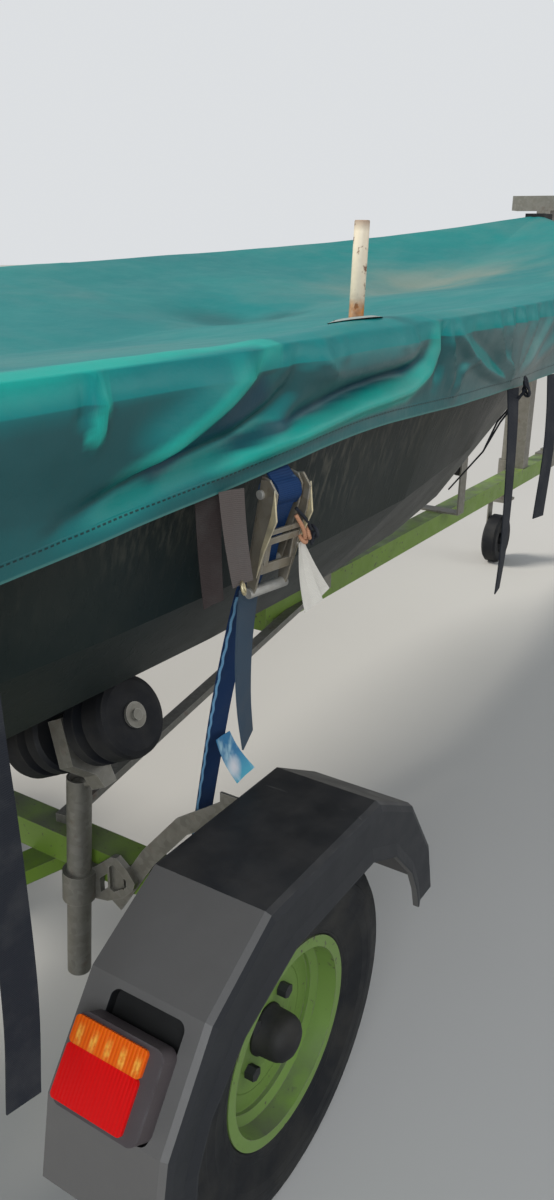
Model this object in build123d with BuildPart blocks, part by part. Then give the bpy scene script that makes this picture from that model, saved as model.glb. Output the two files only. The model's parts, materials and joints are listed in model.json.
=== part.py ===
from build123d import *
import os
from collections import namedtuple
from math import atan2, cos, degrees, hypot, radians, sin, tan

os.makedirs("parts", exist_ok=True)

# A covered double-chine dinghy on its road trailer. +X is forward, +Y is port, +Z is up.
# The origin is on the floor under the middle of the whole length.
# Every distance "from the axle" is forward of the wheels' axis.

# Overall reach from the axle, which sets where the axle lies
nose_reach = 3400.0
stern_reach = 1494.0
axle_x = (stern_reach - nose_reach) / 2
running_gap = 0.3
STARBOARD, PORT = -1, 1
SIDES = ((STARBOARD, "starboard"), (PORT, "port"))

# Hull sections. Halves are distances from the centreline, heights are above the floor,
# and the skirt is how far the cover hangs down from its edge.
Station = namedtuple("Station", "x gunwale_y gunwale_z chine_y chine_z bilge_y bilge_z keel_z skirt")
KEY_STATIONS = (
    Station(-1450, 538, 1157, 450, 880, 350, 745, 540, 118),
    Station(-800, 603, 1152, 515, 875, 425, 745, 520, 132),
    Station(-200, 655, 1155, 575, 876, 460, 745, 513, 122),
    Station(400, 694, 1167, 622, 905, 490, 756, 515, 104),
    Station(1000, 713, 1187, 560, 955, 425, 757, 530, 112),
    Station(1600, 650, 1217, 430, 1015, 300, 815, 570, 112),
    Station(2200, 408, 1267, 260, 1112, 165, 925, 680, 112),
    Station(2500, 203, 1310, 125, 1200, 75, 1050, 850, 110),
    Station(2740, 12, 1354, 9, 1320, 7, 1285, 1230, 106),
)
deck_fall = 0.17
transom_wall = 20.0

# Gunwale, keel and stern fittings
strake_width = 16.0
strake_depth = 28.0
strake_bed = 1.5
keel_strip_half = 14.0
keel_strip_depth = 8.0
gudgeon_heights = (650.0, 930.0)
gudgeon_bore_radius = 4.0
gudgeon_boss_radius = 8.0
gudgeon_boss_height = 22.0
gudgeon_plate = (3.0, 70.0, 30.0)
gudgeon_reach = 16.0
bung_radius = 15.0
bung_y = 70.0
bung_z = 640.0
bung_height = 8.0
bow_eye_z = 1010.0
bow_eye_wire = 5.0
bow_eye_radius = 18.0

# Cover
cover_wall = 8.0
cover_end = 8.0
cover_fall = 0.11
skirt_tuck = 6.0
post_from_axle = 165.0
post_y = -650.0
post_radius = 13.5
post_bore = 10.5
post_top = 1280.0
post_depth = 60.0
cover_hole_radius = 19.0

# Wheels and tyres
tyre_radius = 250.0
tyre_half = 65.0
tread_half = 52.0
shoulder_drop = 9.0
bead_radius = 131.0
bead_half = 50.5
wheel_y = 632.0
flange_radius = 144.0
flange_half = 53.5
rim_wall = 3.0
disc_face = 13.0
disc_wall = 4.0
disc_hole_radius = 30.0
stud_circle_radius = 56.0
stud_radius = 6.0
stud_count = 4
nut_radius = 10.5
nut_height = 14.0
hub_radius = 34.0
hub_flange_radius = 70.0
hub_flange_wall = 8.0
hub_inner = -44.0
stub_radius = 12.5
stub_tip = 4.0
collar_radius = 21.0
collar_gap = 1.0
cap_radius = 33.0
cap_height = 45.0

# Axle beam, arms and the frame
beam_size = 50.0
beam_from_axle = 65.0
beam_z = 360.0
beam_half = 470.0
arm_wall = 15.0
arm_radius = 30.0
front_rail_width = 25.0
front_rail_height = 15.0
rear_rail_width = 50.0
front_rail_y = 219.0
front_rail_angle = 10.2
front_rail_length = 1250.0
rear_rail_y = 205.0
rear_rail_angle = 16.3
rear_rail_height = 25.0
rear_apex = -640.0
drawbar_size = 60.0
drawbar_z = 400.0
drawbar_start = 950.0
drawbar_end = 3190.0

# Mudguards, outer side profile from the axle and above the floor, from the rear foot forward
GUARD_PROFILE = (
    (-345, 290), (-327, 395), (-249, 508), (-138, 572.5),
    (128, 572.5), (236, 513), (313, 401), (334, 320),
)
ARCH_PROFILE = (
    (-292, 290), (-286, 346), (-262, 398), (-200, 457), (-95, 501),
    (97, 501), (170, 467), (231, 402), (254, 358), (266, 320),
)
guard_inner = 578.0
guard_outer = 743.0
guard_wall = 4.0
# The rounding of the guard's outer edge: how far short of its outer face, and how far drawn in
GUARD_ROUNDING = ((12, 0), (4, 3), (0, 11))
guard_lip = 17.0
guard_lip_flare = 5.0
guard_lip_edge = 3.0
# Guard brackets: a strip up the beam's rear face, leaning outboard to the guard's underside, from the
# centreline and above the floor, and a foot along the underside
GUARD_BRACKET = ((349, 305), (418, 415), (480, 490), (560, 546))
guard_bracket_wall = 4.0
guard_bracket_width = 27.0
guard_foot_length = 60.0

# Tail lamps, laid on the mudguard's rear facet. Distances run down the facet from its upper edge.
lamp_inner = 600.0
lamp_width = 114.0
lamp_top = 36.0
lamp_bottom = 132.0
lamp_proud = 30.0
recess_depth = 14.0
recess_inner = 613.0
recess_outer = 712.0
recess_top = 9.0
recess_bottom = 136.5
recess_radius = 11.0
lamp_plug = 8.0
lamp_radius = 12.0
lens_radius = 5.0
lens_wall = 4.0
lens_border = 5.0
amber_bottom = 70.0
lens_width = 96.0

# Side roller sets on stems
stem_from_axle = 14.0
stem_y = 303.0
stem_lean = 0.073
stem_lean_from = 400.0
stem_radius = 18.5
stem_bore = 14.5
stem_bottom = 170.0
stem_top = 526.0
roller_radius = 58.0
roller_waist = 44.0
roller_length = 82.0
roller_groove = 20.0
spindle_y = 322.0
spindle_radius = 8.0
lug_wall = 28.0
lug_spacer = 15.0
spacer_radius = 14.0
pivot_up = -78.0
pivot_radius = 8.0
pivot_reach = 58.0
washer_radius = 18.0
washer_wall = 4.0
clamp_radius = 25.5
clamp_low = 312.0
clamp_high = 362.0
ear_depth = 10.0
ear_web = 4.0
roller_clearance = 0.6
# The bracket between two side rollers: ahead of the stem, and up from the spindle
LUG_PROFILE = ((-38, 28), (38, 28), (50, -30), (12, -62), (12, -88), (-12, -88), (-18, -66), (-50, -38))
# The clamp's ear on the beam, its hollow and its openings: outboard of the stem, and up from the clamp's foot
EAR_PROFILE = (
    (0, -4), (14, -4), (40, 2), (72, 20), (92, 42), (96, 55), (83, 72), (62, 87), (52, 85), (16, 53), (0, 50),
)
EAR_HOLLOW = ((47, 66), (55, 73), (80, 53), (79, 42), (54, 24), (47, 27))
EAR_OPENINGS = (
    ((27, 38), (43, 53), (43, 27), (27, 12)),
    ((69, 50), (75, 50), (75, 36), (69, 36)),
)

# Keel rollers, stations from the axle
KEEL_ROLLERS = (-600.0, 1150.0, 2050.0)
keel_roller_waist = 30.0
keel_roller_end = 44.0
keel_roller_half = 75.0
keel_pin_radius = 8.0
keel_ear_wall = 6.0
keel_ear_width = 50.0
keel_ear_gap = 2.0

# Winch post
winch_post_from_axle = 2870.0
winch_post_depth = 60.0
winch_post_width = 50.0
winch_post_top = 1385.0
winch_head_width = 240.0
winch_head_height = 50.0
snubber_half = 35.0
snubber_low = 1270.0
snubber_high = 1372.0
winch_z = 1085.0
winch_drum_radius = 34.0
winch_drum_half = 30.0
winch_drum_gap = 42.0
winch_plate_wall = 4.0
winch_strap_wall = 2.5
winch_strap_half = 25.0
winch_strap_leaves = 20.0
winch_crank = 150.0
winch_crank_y = 60.0
winch_grip = 90.0

# Coupling head and jockey wheel
coupling_length = 230.0
coupling_width = 66.0
coupling_height = 62.0
coupling_z = 405.0
ball_radius = 25.2
ball_setback = 38.0
ball_depth = 42.0
jockey_from_axle = 2990.0
jockey_y = 92.0
jockey_outer_radius = 24.0
jockey_inner_radius = 16.5
jockey_tube_low = 290.0
jockey_tube_high = 760.0
jockey_wheel_radius = 100.0
jockey_wheel_half = 30.0
jockey_trail = 45.0
jockey_fork_wall = 5.0
jockey_pin_radius = 8.0
jockey_clamp_radius = 34.0
jockey_crank = 130.0
jockey_crown_gap = 40.0
jockey_stem_reach = 60.0

# Tie-down straps from the beam's ends over the gunwales
strap_width = 35.0
strap_wall = 2.5
strap_top_from_axle = -32.0
strap_top_y = 676.0
strap_top_z = 1052.0
strap_foot_from_axle = 104.0
strap_foot_y = 453.0
strap_foot_z = 392.0
spool_run = 28.0
spool_out = 12.0
spool_radius = 17.0
spool_pin_radius = 7.0
ratchet_plate = 2.5
ratchet_gap = 1.0
ratchet_bar_radius = 4.0
hook_width = 30.0
hook_wall = 8.0

# Ratchet plates seen from the side: run down the strap and height out from it
FRAME_PLATE = ((8, -2), (8, 14), (20, 25), (42, 25), (106, 10), (106, -2))
HANDLE_PLATE = ((14, 4), (9, 20), (22, 36), (48, 36), (134, 19), (138, 12), (130, 6), (60, 6))
# Cross bars through them: run, height out, and half length past the frame plates' inner faces
CROSS_BARS = ((100, 6, 2.5), (130, 12.5, 6.5))
# The handle's sliding plate and its window: run from and to, and half width
slider_out = 26.5
SLIDER = ((56, 92, 22.0), (64, 84, 10.0))

# The cover's starboard tie tails: distance from the axle, and length below the hem
TIE_TAILS = ((-455.0, 500.0), (560.0, 325.0), (720.0, 190.0))
tail_width = 40.0
tail_wall = 2.0
tail_inset = 4.0


def keep(builder, label):
    """Name a finished piece and write its file."""
    builder.part.label = label
    export_step(builder.part, f"parts/{label}.step")


def between(low, high, mode=Mode.ADD):
    """A box between two opposite corners, added to the part being built."""
    centre = [(a + b) / 2 for a, b in zip(low, high)]
    with Locations(tuple(centre)):
        return Box(*[b - a for a, b in zip(low, high)], mode=mode)


def sides_of(y, low, high):
    """The ends of a stretch of Y on one side, lower first."""
    return (low, high) if y == PORT else (-high, -low)


def side_plane(y):
    """A sketch plane across the boat at Y, with X forward and Z up, extruding to starboard."""
    return Plane.XZ.offset(-y)


def faired(rows):
    """The key stations with one more between each two, on a smooth curve through them all."""
    chords = [[(b - a) / (fore.x - aft.x) for a, b in zip(aft, fore)] for aft, fore in zip(rows, rows[1:])]
    slopes = [chords[0]]
    for (aft, here, fore), before, after in zip(zip(rows, rows[1:], rows[2:]), chords, chords[1:]):
        share = (here.x - aft.x) / (fore.x - aft.x)
        slopes.append([b * (1 - share) + a * share for b, a in zip(before, after)])
    slopes.append(chords[-1])
    full = [rows[0]]
    for aft, fore, leave, arrive in zip(rows, rows[1:], slopes, slopes[1:]):
        bulge = (fore.x - aft.x) / 8
        full.append(Station(*[(a + b) / 2 + (m - n) * bulge for a, b, m, n in zip(aft, fore, leave, arrive)]))
        full.append(fore)
    return full


def hull_at(x, column):
    """A hull column's value between its stations."""
    for aft, fore in zip(HULL, HULL[1:]):
        if x <= fore.x:
            share = (x - aft.x) / (fore.x - aft.x)
            return getattr(aft, column) * (1 - share) + getattr(fore, column) * share
    return getattr(HULL[-1], column)


def keel_slope(x):
    """The keel line's rise per unit forward."""
    return hull_at(x + 1, "keel_z") - hull_at(x, "keel_z")


def section(x, points):
    """One closed section across the boat at a distance from the axle."""
    with BuildSketch(Plane.YZ.offset(axle_x + x)) as across:
        with BuildLine():
            Polyline(*points, close=True)
        make_face()
    return across.sketch


def outline(plane, points):
    """One closed outline on a plane."""
    with BuildSketch(plane) as flat:
        with BuildLine():
            Polyline(*points, close=True)
        make_face()
    return flat.sketch


def mirrored(points):
    """A half outline from the centreline top to the centreline bottom, and its reflection."""
    return points + [(-y, z) for y, z in reversed(points) if y > 0]


def hull_outline(station):
    return mirrored([
        (0, station.gunwale_z - deck_fall * station.gunwale_y),
        (station.gunwale_y, station.gunwale_z),
        (station.chine_y, station.chine_z),
        (station.bilge_y, station.bilge_z),
        (0, station.keel_z),
    ])


def cover_outline(station):
    shoulder_y = station.gunwale_y + strake_width + cover_wall
    return mirrored([
        (0, station.gunwale_z - cover_fall * station.gunwale_y + cover_wall),
        (shoulder_y, station.gunwale_z + cover_wall),
        (shoulder_y - skirt_tuck, station.gunwale_z + cover_wall - station.skirt),
    ])


def lining_outline(station):
    """The space under the cover, down past its hem."""
    side_y = station.gunwale_y + strake_width + running_gap
    top = station.gunwale_z + running_gap
    return mirrored([
        (0, top - cover_fall * station.gunwale_y),
        (station.gunwale_y, top),
        (side_y, top),
        (side_y, top - 2 * running_gap - strake_depth),
        (side_y - skirt_tuck, top - station.skirt),
    ])


def strake_outline(station, side):
    inner = station.gunwale_y
    outer = inner + strake_width
    flare = (inner - station.chine_y) / (station.gunwale_z - station.chine_z)
    top = station.gunwale_z
    return [
        (side * (inner + running_gap), top),
        (side * outer, top),
        (side * outer, top - strake_depth),
        (side * (inner - strake_depth * flare + strake_bed), top - strake_depth),
    ]


def keel_strip_outline(station):
    half = min(keel_strip_half, station.bilge_y * 0.9)
    rise = (station.bilge_z - station.keel_z) / station.bilge_y * half
    foot = station.keel_z - keel_strip_depth
    return mirrored([(0, station.keel_z + rise), (half, station.keel_z + rise * 0.5), (half, foot), (0, foot)])


def rod(start, end, radius, mode=Mode.ADD):
    """A round bar between two points."""
    along = Vector(*end) - Vector(*start)
    with BuildSketch(Plane(origin=start, z_dir=along)) as round_end:
        Circle(radius)
    return extrude(round_end.sketch, amount=along.length, mode=mode)


def turned(centre, axis, points, mode=Mode.ADD):
    """A solid turned about an axis square to X, from (distance along, radius) points."""
    half = outline(Plane(origin=centre, x_dir=axis, z_dir=(1, 0, 0)), points)
    return revolve(half, axis=Axis(centre, axis), mode=mode)


def both_ways(points):
    """An outline's outer points from its middle outwards, and their reflection."""
    return [(-along, radius) for along, radius in reversed(points)] + points


def inset(points, wall):
    """An open run of points moved towards its right-hand side by a wall."""
    normals = []
    for (x0, z0), (x1, z1) in zip(points, points[1:]):
        run = hypot(x1 - x0, z1 - z0)
        normals.append(((z1 - z0) / run, (x0 - x1) / run))
    before = [normals[0]] + normals
    after = normals + [normals[-1]]
    moved = []
    for (x, z), (ax, az), (bx, bz) in zip(points, before, after):
        mitre = wall / (1 + ax * bx + az * bz)
        moved.append((x + (ax + bx) * mitre, z + (az + bz) * mitre))
    return moved


def wheel_point(side, outboard, ahead, up):
    """A point on a wheel, from its middle."""
    return (axle_x + ahead, side * (wheel_y + outboard), tyre_radius + up)


def hex_bar(start, direction, radius, length):
    """A six-sided bar, such as a nut."""
    with BuildSketch(Plane(origin=start, z_dir=direction)) as six_sided:
        RegularPolygon(radius, 6)
    return extrude(six_sided.sketch, amount=length)


def slanted_bar(side, from_axle, start_y, angle, length, width, low_z, height):
    """A flat-lying rail from a start beside the centreline, slanting outboard by an angle as it runs forward."""
    ahead = cos(radians(angle))
    outboard = sin(radians(angle))
    corners = []
    for run, across in ((0, -1), (length, -1), (length, 1), (0, 1)):
        x = from_axle + run * ahead - across * width / 2 * outboard
        y = start_y + run * outboard + across * width / 2 * ahead
        corners.append((axle_x + x, side * y))
    return extrude(outline(Plane.XY.offset(low_z), corners), amount=height)


def across_guard(side, points, inner, outer, mode=Mode.ADD):
    """A side profile of a mudguard, from the axle, carried across between two distances from the centreline."""
    profile = outline(side_plane(side * (inner + outer) / 2), [(axle_x + x, z) for x, z in points])
    return extrude(profile, amount=(outer - inner) / 2, both=True, mode=mode)


def guard_outline(side, profile, out, drawn, below):
    """A side profile of the mudguard at a distance from the centreline, drawn in, down to its two feet."""
    run = inset(profile, drawn)
    for end, beside in ((0, 1), (-1, -2)):
        (x, z), (near_x, near_z) = run[end], run[beside]
        foot = profile[end][1] - below
        run[end] = (x + (foot - z) * (near_x - x) / (near_z - z), foot)
    (rear_x, rear_z), (fore_x, fore_z) = ARCH_PROFILE[0], ARCH_PROFILE[-1]
    run += [(fore_x, fore_z - below), (rear_x, rear_z - below)]
    return outline(side_plane(side * out), [(axle_x + x, z) for x, z in run])


def guard_block(side, inner, outer, drawn, below, mode=Mode.ADD):
    """The mudguard's full form between two distances from the centreline, rounded at its outer edge."""
    rounding = [(outer - short, drawn + more) for short, more in GUARD_ROUNDING]
    sections = [guard_outline(side, GUARD_PROFILE, out, more, below) for out, more in [(inner, drawn)] + rounding]
    return loft(sections, ruled=True, mode=mode)


def on_facet(side, inner, outer, top, bottom, low, high, radius, mode=Mode.ADD):
    """A block on a mudguard's rear facet, by its stretch across, down the facet and out from it."""
    y0, y1 = sides_of(side, inner, outer)
    with BuildSketch(facet.offset(low)) as patch:
        with Locations(((y0 + y1) / 2, (top + bottom) / 2)):
            RectangleRounded(y1 - y0, bottom - top, radius)
    return extrude(patch.sketch, amount=high - low, mode=mode)


def spindle_axis(side):
    """The direction of a side roller set's spindle, outboard and up along the hull's bottom."""
    return (0, side * cos(spindle_tilt), sin(spindle_tilt))


def spindle_point(side, along, up=0, ahead=0):
    """A point by a spindle: along it from its lug, and square to it."""
    y = spindle_y + along * cos(spindle_tilt) - up * sin(spindle_tilt)
    z = spindle_z + along * sin(spindle_tilt) + up * cos(spindle_tilt)
    return (axle_x + stem_from_axle + ahead, side * y, z)


def stem_point(side, height):
    """A point on the middle line of a roller set's stem."""
    return (axle_x + stem_from_axle, side * (stem_y + (height - stem_lean_from) * stem_lean), height)


def keel_roller_centre(station):
    """Where a roller's pin lies so that its waist just clears the keel strip."""
    lean = cos(atan2(keel_slope(station), 1))
    drop = keel_strip_depth + (keel_roller_waist + running_gap) / lean
    return (axle_x + station, 0, hull_at(station, "keel_z") - drop)


def stem_x(height):
    """How far forward of the axle the stem is at a height."""
    for low, high in zip(HULL, HULL[1:]):
        if low.keel_z <= height <= high.keel_z:
            return low.x + (high.x - low.x) * (height - low.keel_z) / (high.keel_z - low.keel_z)


def squared(direction, along):
    """A direction turned square to another."""
    unit = Vector(*along).normalized()
    return (Vector(*direction) - unit * unit.dot(Vector(*direction))).normalized()


def tape(start, end, broad, width, wall, mode=Mode.ADD):
    """A flat strap between two points, with its width along the given direction as near as it goes."""
    along = Vector(*end) - Vector(*start)
    with BuildSketch(Plane(origin=start, x_dir=squared(broad, along), z_dir=along)) as strap_end:
        Rectangle(width, wall)
    return extrude(strap_end.sketch, amount=along.length, mode=mode)


def tie_point(side, share):
    """A point along a tie-down strap, from the cover's hem to its hook."""
    start = (strap_top_from_axle, strap_top_y, strap_top_z)
    end = (strap_foot_from_axle, strap_foot_y, strap_foot_z)
    x, y, z = (a + (b - a) * share for a, b in zip(start, end))
    return (axle_x + x, side * y, z)


def strap_frame(side):
    """A tie-down strap's directions: down along it, across it and out from the hull."""
    down = (Vector(*tie_point(side, 1)) - Vector(*tie_point(side, 0))).normalized()
    across = squared((1, 0, 0), down)
    return down, across, down.cross(across) * -side


def strap_point(side, run, out, across=0):
    """A point by a tie-down strap: down it from the hem, out from the hull, and across it."""
    down, over, outward = strap_frame(side)
    return tuple(Vector(*tie_point(side, 0)) + down * run + outward * out + over * across)


def strap_side_plane(side, across):
    """A sketch plane beside a tie-down strap, with X down it and Y out from the hull."""
    down, over, outward = strap_frame(side)
    return Plane(origin=strap_point(side, 0, 0, across), x_dir=down, z_dir=down.cross(outward))


def across_strap(side, run, out, half, radius, mode=Mode.ADD):
    """A round bar across a tie-down strap."""
    return rod(strap_point(side, run, out, -half), strap_point(side, run, out, half), radius, mode)


HULL = faired(KEY_STATIONS)

# The hull's bottom at the side rollers, and the spindles that lie along it
bottom_rise = hull_at(stem_from_axle, "bilge_z") - hull_at(stem_from_axle, "keel_z")
spindle_tilt = atan2(bottom_rise, hull_at(stem_from_axle, "bilge_y"))
spindle_z = (hull_at(stem_from_axle, "keel_z") + spindle_y * tan(spindle_tilt)
             - (roller_radius + roller_clearance) / cos(spindle_tilt))
stud_places = [(stud_circle_radius * cos(radians(45 + 360 / stud_count * n)),
                stud_circle_radius * sin(radians(45 + 360 / stud_count * n))) for n in range(stud_count)]

# The hull, decked over where the cover hides its inside
with BuildPart() as hull:
    loft([section(station.x, hull_outline(station)) for station in HULL], ruled=True)
    with Locations((axle_x + post_from_axle, post_y, post_top)):
        Hole(radius=post_radius, depth=post_top - hull_at(post_from_axle, "gunwale_z") + post_depth)
keep(hull, "hull")

with BuildPart() as transom:
    extrude(section(HULL[0].x, hull_outline(HULL[0])), amount=-transom_wall)
keep(transom, "transom")

# Rubbing strakes along both gunwales
with BuildPart() as strakes:
    for side, _ in SIDES:
        loft([section(station.x, strake_outline(station, side)) for station in HULL], ruled=True)
keep(strakes, "rubbing_strakes")

with BuildPart() as keel_strip:
    loft([section(station.x, keel_strip_outline(station)) for station in HULL], ruled=True)
    add(hull.part, mode=Mode.SUBTRACT)
keep(keel_strip, "keel_strip")

with BuildPart() as gudgeons:
    for height in gudgeon_heights:
        stern_face = axle_x + HULL[0].x - transom_wall
        wall, width, tall = gudgeon_plate
        between((stern_face - wall, -width / 2, height - tall / 2), (stern_face, width / 2, height + tall / 2))
        between(
            (stern_face - gudgeon_reach, -gudgeon_boss_radius, height - gudgeon_boss_height / 2),
            (stern_face - wall, gudgeon_boss_radius, height + gudgeon_boss_height / 2),
        )
        with Locations((stern_face - gudgeon_reach, 0, height)):
            Cylinder(gudgeon_boss_radius, gudgeon_boss_height)
            Cylinder(gudgeon_bore_radius, gudgeon_boss_height, mode=Mode.SUBTRACT)
keep(gudgeons, "rudder_gudgeons")

with BuildPart() as bungs:
    with BuildSketch(Plane.YZ.offset(axle_x + HULL[0].x - transom_wall)):
        with Locations(*[(side * bung_y, bung_z) for side, _ in SIDES]):
            RegularPolygon(bung_radius, 8)
    extrude(amount=-bung_height)
keep(bungs, "drain_bungs")

# The cover is one sheet over the whole boat, with a skirt outside the strakes
with BuildPart() as cover:
    for shape, end, mode in (
        (cover_outline, cover_end, Mode.ADD),
        (lining_outline, running_gap, Mode.SUBTRACT),
    ):
        aft = section(HULL[0].x - transom_wall - end, shape(HULL[0]))
        fore = section(HULL[-1].x + end, shape(HULL[-1]))
        middle = [section(station.x, shape(station)) for station in HULL]
        loft([aft] + middle + [fore], ruled=True, mode=mode)
    with Locations((axle_x + post_from_axle, post_y, post_top)):
        Hole(radius=cover_hole_radius, depth=2 * (post_top - hull_at(post_from_axle, "gunwale_z")))
keep(cover, "cover")

with BuildPart() as gunwale_post:
    post_foot = hull_at(post_from_axle, "gunwale_z") - post_depth
    with BuildSketch(Plane.XY.offset(post_foot)):
        with Locations((axle_x + post_from_axle, post_y)):
            Circle(post_radius)
            Circle(post_bore, mode=Mode.SUBTRACT)
    extrude(amount=post_top - post_foot)
keep(gunwale_post, "gunwale_post")

# Wheels: each turns on its stub axle as one body
well_radius = bead_radius - 5 * rim_wall
for side, name in SIDES:
    wheel_centre = (axle_x, side * wheel_y, tyre_radius)
    outward = (0, side, 0)
    with BuildPart() as tyre:
        turned(wheel_centre, outward, both_ways([
            (bead_half, bead_radius),
            (bead_half, flange_radius),
            (flange_half, flange_radius + rim_wall),
            (tyre_half, (tyre_radius + flange_radius) / 2 - shoulder_drop),
            (tyre_half, tyre_radius - shoulder_drop * 4),
            (tread_half + shoulder_drop, tyre_radius - shoulder_drop),
            (tread_half, tyre_radius),
        ]))
    keep(tyre, f"tyre_{name}")

    with BuildPart() as rim:
        turned(wheel_centre, outward, [
            (flange_half, flange_radius),
            (bead_half, flange_radius),
            (bead_half, bead_radius),
            (disc_face + 4 * rim_wall, bead_radius - rim_wall),
            (disc_face + rim_wall, well_radius),
            (-disc_face - rim_wall, well_radius),
            (-disc_face - 4 * rim_wall, bead_radius - rim_wall),
            (-bead_half, bead_radius),
            (-bead_half, flange_radius),
            (-flange_half, flange_radius),
            (-flange_half, bead_radius - rim_wall),
            (-disc_face - 4 * rim_wall, bead_radius - 2 * rim_wall),
            (-disc_face - 2 * rim_wall, well_radius - rim_wall),
            (disc_face - disc_wall, well_radius - rim_wall),
            (disc_face - disc_wall, disc_hole_radius),
            (disc_face, disc_hole_radius),
            (disc_face, well_radius - rim_wall),
            (disc_face + 2 * rim_wall, well_radius - rim_wall),
            (disc_face + 4 * rim_wall, bead_radius - 2 * rim_wall),
            (flange_half, bead_radius - rim_wall),
        ])
        for out, up in stud_places:
            rod(wheel_point(side, disc_face * 2, out, up), wheel_point(side, 0, out, up),
                stud_radius + running_gap, mode=Mode.SUBTRACT)
    keep(rim, f"rim_{name}")

    disc_back = disc_face - disc_wall
    with BuildPart() as hub:
        turned(wheel_centre, outward, [
            (hub_inner, stub_radius + running_gap),
            (hub_inner, hub_radius),
            (disc_back - hub_flange_wall, hub_radius),
            (disc_back - hub_flange_wall, hub_flange_radius),
            (disc_back, hub_flange_radius),
            (disc_back, disc_hole_radius - running_gap),
            (disc_face, disc_hole_radius - running_gap),
            (disc_face, 0),
            (disc_back, 0),
            (disc_back, stub_radius + running_gap),
        ])
        for out, up in stud_places:
            rod(wheel_point(side, disc_back, out, up), wheel_point(side, disc_face, out, up), stud_radius)
            hex_bar(wheel_point(side, disc_face, out, up), outward, nut_radius, nut_height)
    keep(hub, f"hub_{name}")

    with BuildPart() as hub_cap:
        turned(wheel_centre, outward, [
            (disc_face, 0),
            (disc_face, cap_radius),
            (disc_face + cap_height * 0.4, cap_radius * 0.96),
            (disc_face + cap_height * 0.75, cap_radius * 0.76),
            (disc_face + cap_height * 0.95, cap_radius * 0.4),
            (disc_face + cap_height, 0),
        ])
    keep(hub_cap, f"hub_cap_{name}")

# The rubber-sprung axle beam, its trailing arms and stub axles
beam_x = axle_x + beam_from_axle
beam_low = beam_z - beam_size / 2
beam_high = beam_z + beam_size / 2
beam_aft = beam_x - beam_size / 2
beam_fore = beam_x + beam_size / 2
with BuildPart() as axle_beam:
    between((beam_aft, -beam_half, beam_low), (beam_fore, beam_half, beam_high))
keep(axle_beam, "axle_beam")

with BuildPart() as swing_arms:
    arm_outer = beam_half + arm_wall
    arm_run = hypot(beam_from_axle, beam_z - tyre_radius)
    arm_tilt = degrees(atan2(beam_z - tyre_radius, beam_from_axle))
    for side, _ in SIDES:
        with BuildSketch(side_plane(side * (beam_half + arm_wall / 2))):
            with Locations((axle_x + beam_from_axle / 2, (beam_z + tyre_radius) / 2)):
                SlotCenterToCenter(arm_run, arm_radius * 2, rotation=arm_tilt)
        extrude(amount=arm_wall / 2, both=True)
        collar_end = wheel_y + hub_inner - collar_gap
        for end, radius in ((collar_end, collar_radius), (wheel_y + stub_tip, stub_radius)):
            rod((axle_x, side * arm_outer, tyre_radius), (axle_x, side * end, tyre_radius), radius)
keep(swing_arms, "swing_arms")

# Frame: a drawbar that forks into two rails over the beam, and two rails that meet behind it
drawbar_low = drawbar_z - drawbar_size / 2
drawbar_high = drawbar_z + drawbar_size / 2
with BuildPart() as drawbar:
    between((axle_x + drawbar_start, -drawbar_size / 2, drawbar_low),
            (axle_x + drawbar_end, drawbar_size / 2, drawbar_high))
keep(drawbar, "drawbar")

with BuildPart() as front_rails:
    for side, _ in SIDES:
        slanted_bar(side, beam_from_axle, front_rail_y, -front_rail_angle, front_rail_length,
                    front_rail_width, beam_high, front_rail_height)
    add(drawbar.part, mode=Mode.SUBTRACT)
keep(front_rails, "front_rails")

with BuildPart() as rear_rails:
    rear_run = (beam_from_axle - rear_apex) / cos(radians(rear_rail_angle))
    for side, _ in SIDES:
        slanted_bar(side, beam_from_axle, rear_rail_y, rear_rail_angle, -rear_run,
                    rear_rail_width, beam_low - rear_rail_height, rear_rail_height)
keep(rear_rails, "rear_rails")

# Mudguards with a recess for the tail lamps, and their brackets
lamp_outer = lamp_inner + lamp_width
lens_outer = lamp_inner + lens_width
facet_low, facet_high = GUARD_PROFILE[1], GUARD_PROFILE[2]
facet_length = hypot(facet_high[0] - facet_low[0], facet_high[1] - facet_low[1])
facet_normal = ((facet_low[1] - facet_high[1]) / facet_length, 0, (facet_high[0] - facet_low[0]) / facet_length)
facet = Plane(origin=(axle_x + facet_high[0], 0, facet_high[1]), x_dir=(0, 1, 0), z_dir=facet_normal)
for side, name in SIDES:
    with BuildPart() as mudguard:
        guard_block(side, guard_inner, guard_outer, 0, 0)
        guard_block(side, guard_inner - guard_wall, guard_outer - guard_wall, guard_wall, guard_wall,
                    Mode.SUBTRACT)
        lip_base = guard_outer - guard_wall / 2
        lip_face = guard_outer + guard_lip_flare
        loft([
            guard_outline(side, ARCH_PROFILE, lip_base, -guard_lip, 0),
            guard_outline(side, ARCH_PROFILE, guard_outer, -guard_lip, 0),
            guard_outline(side, ARCH_PROFILE, lip_face, -guard_lip_edge, 0),
        ], ruled=True)
        (rear_x, rear_z), (fore_x, fore_z) = ARCH_PROFILE[0], ARCH_PROFILE[-1]
        arch = [(rear_x, rear_z - guard_wall)] + list(ARCH_PROFILE) + [(fore_x, fore_z - guard_wall)]
        across_guard(side, arch, guard_outer - 2 * guard_wall, lip_face + guard_wall, mode=Mode.SUBTRACT)
        on_facet(side, recess_inner - guard_wall, recess_outer + guard_wall, recess_top - guard_wall,
                 recess_bottom + guard_wall, -recess_depth - guard_wall, -guard_wall / 2, recess_radius)
        on_facet(side, recess_inner, recess_outer, recess_top, recess_bottom, -recess_depth, guard_wall,
                 recess_radius, mode=Mode.SUBTRACT)
    keep(mudguard, f"mudguard_{name}")

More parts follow.
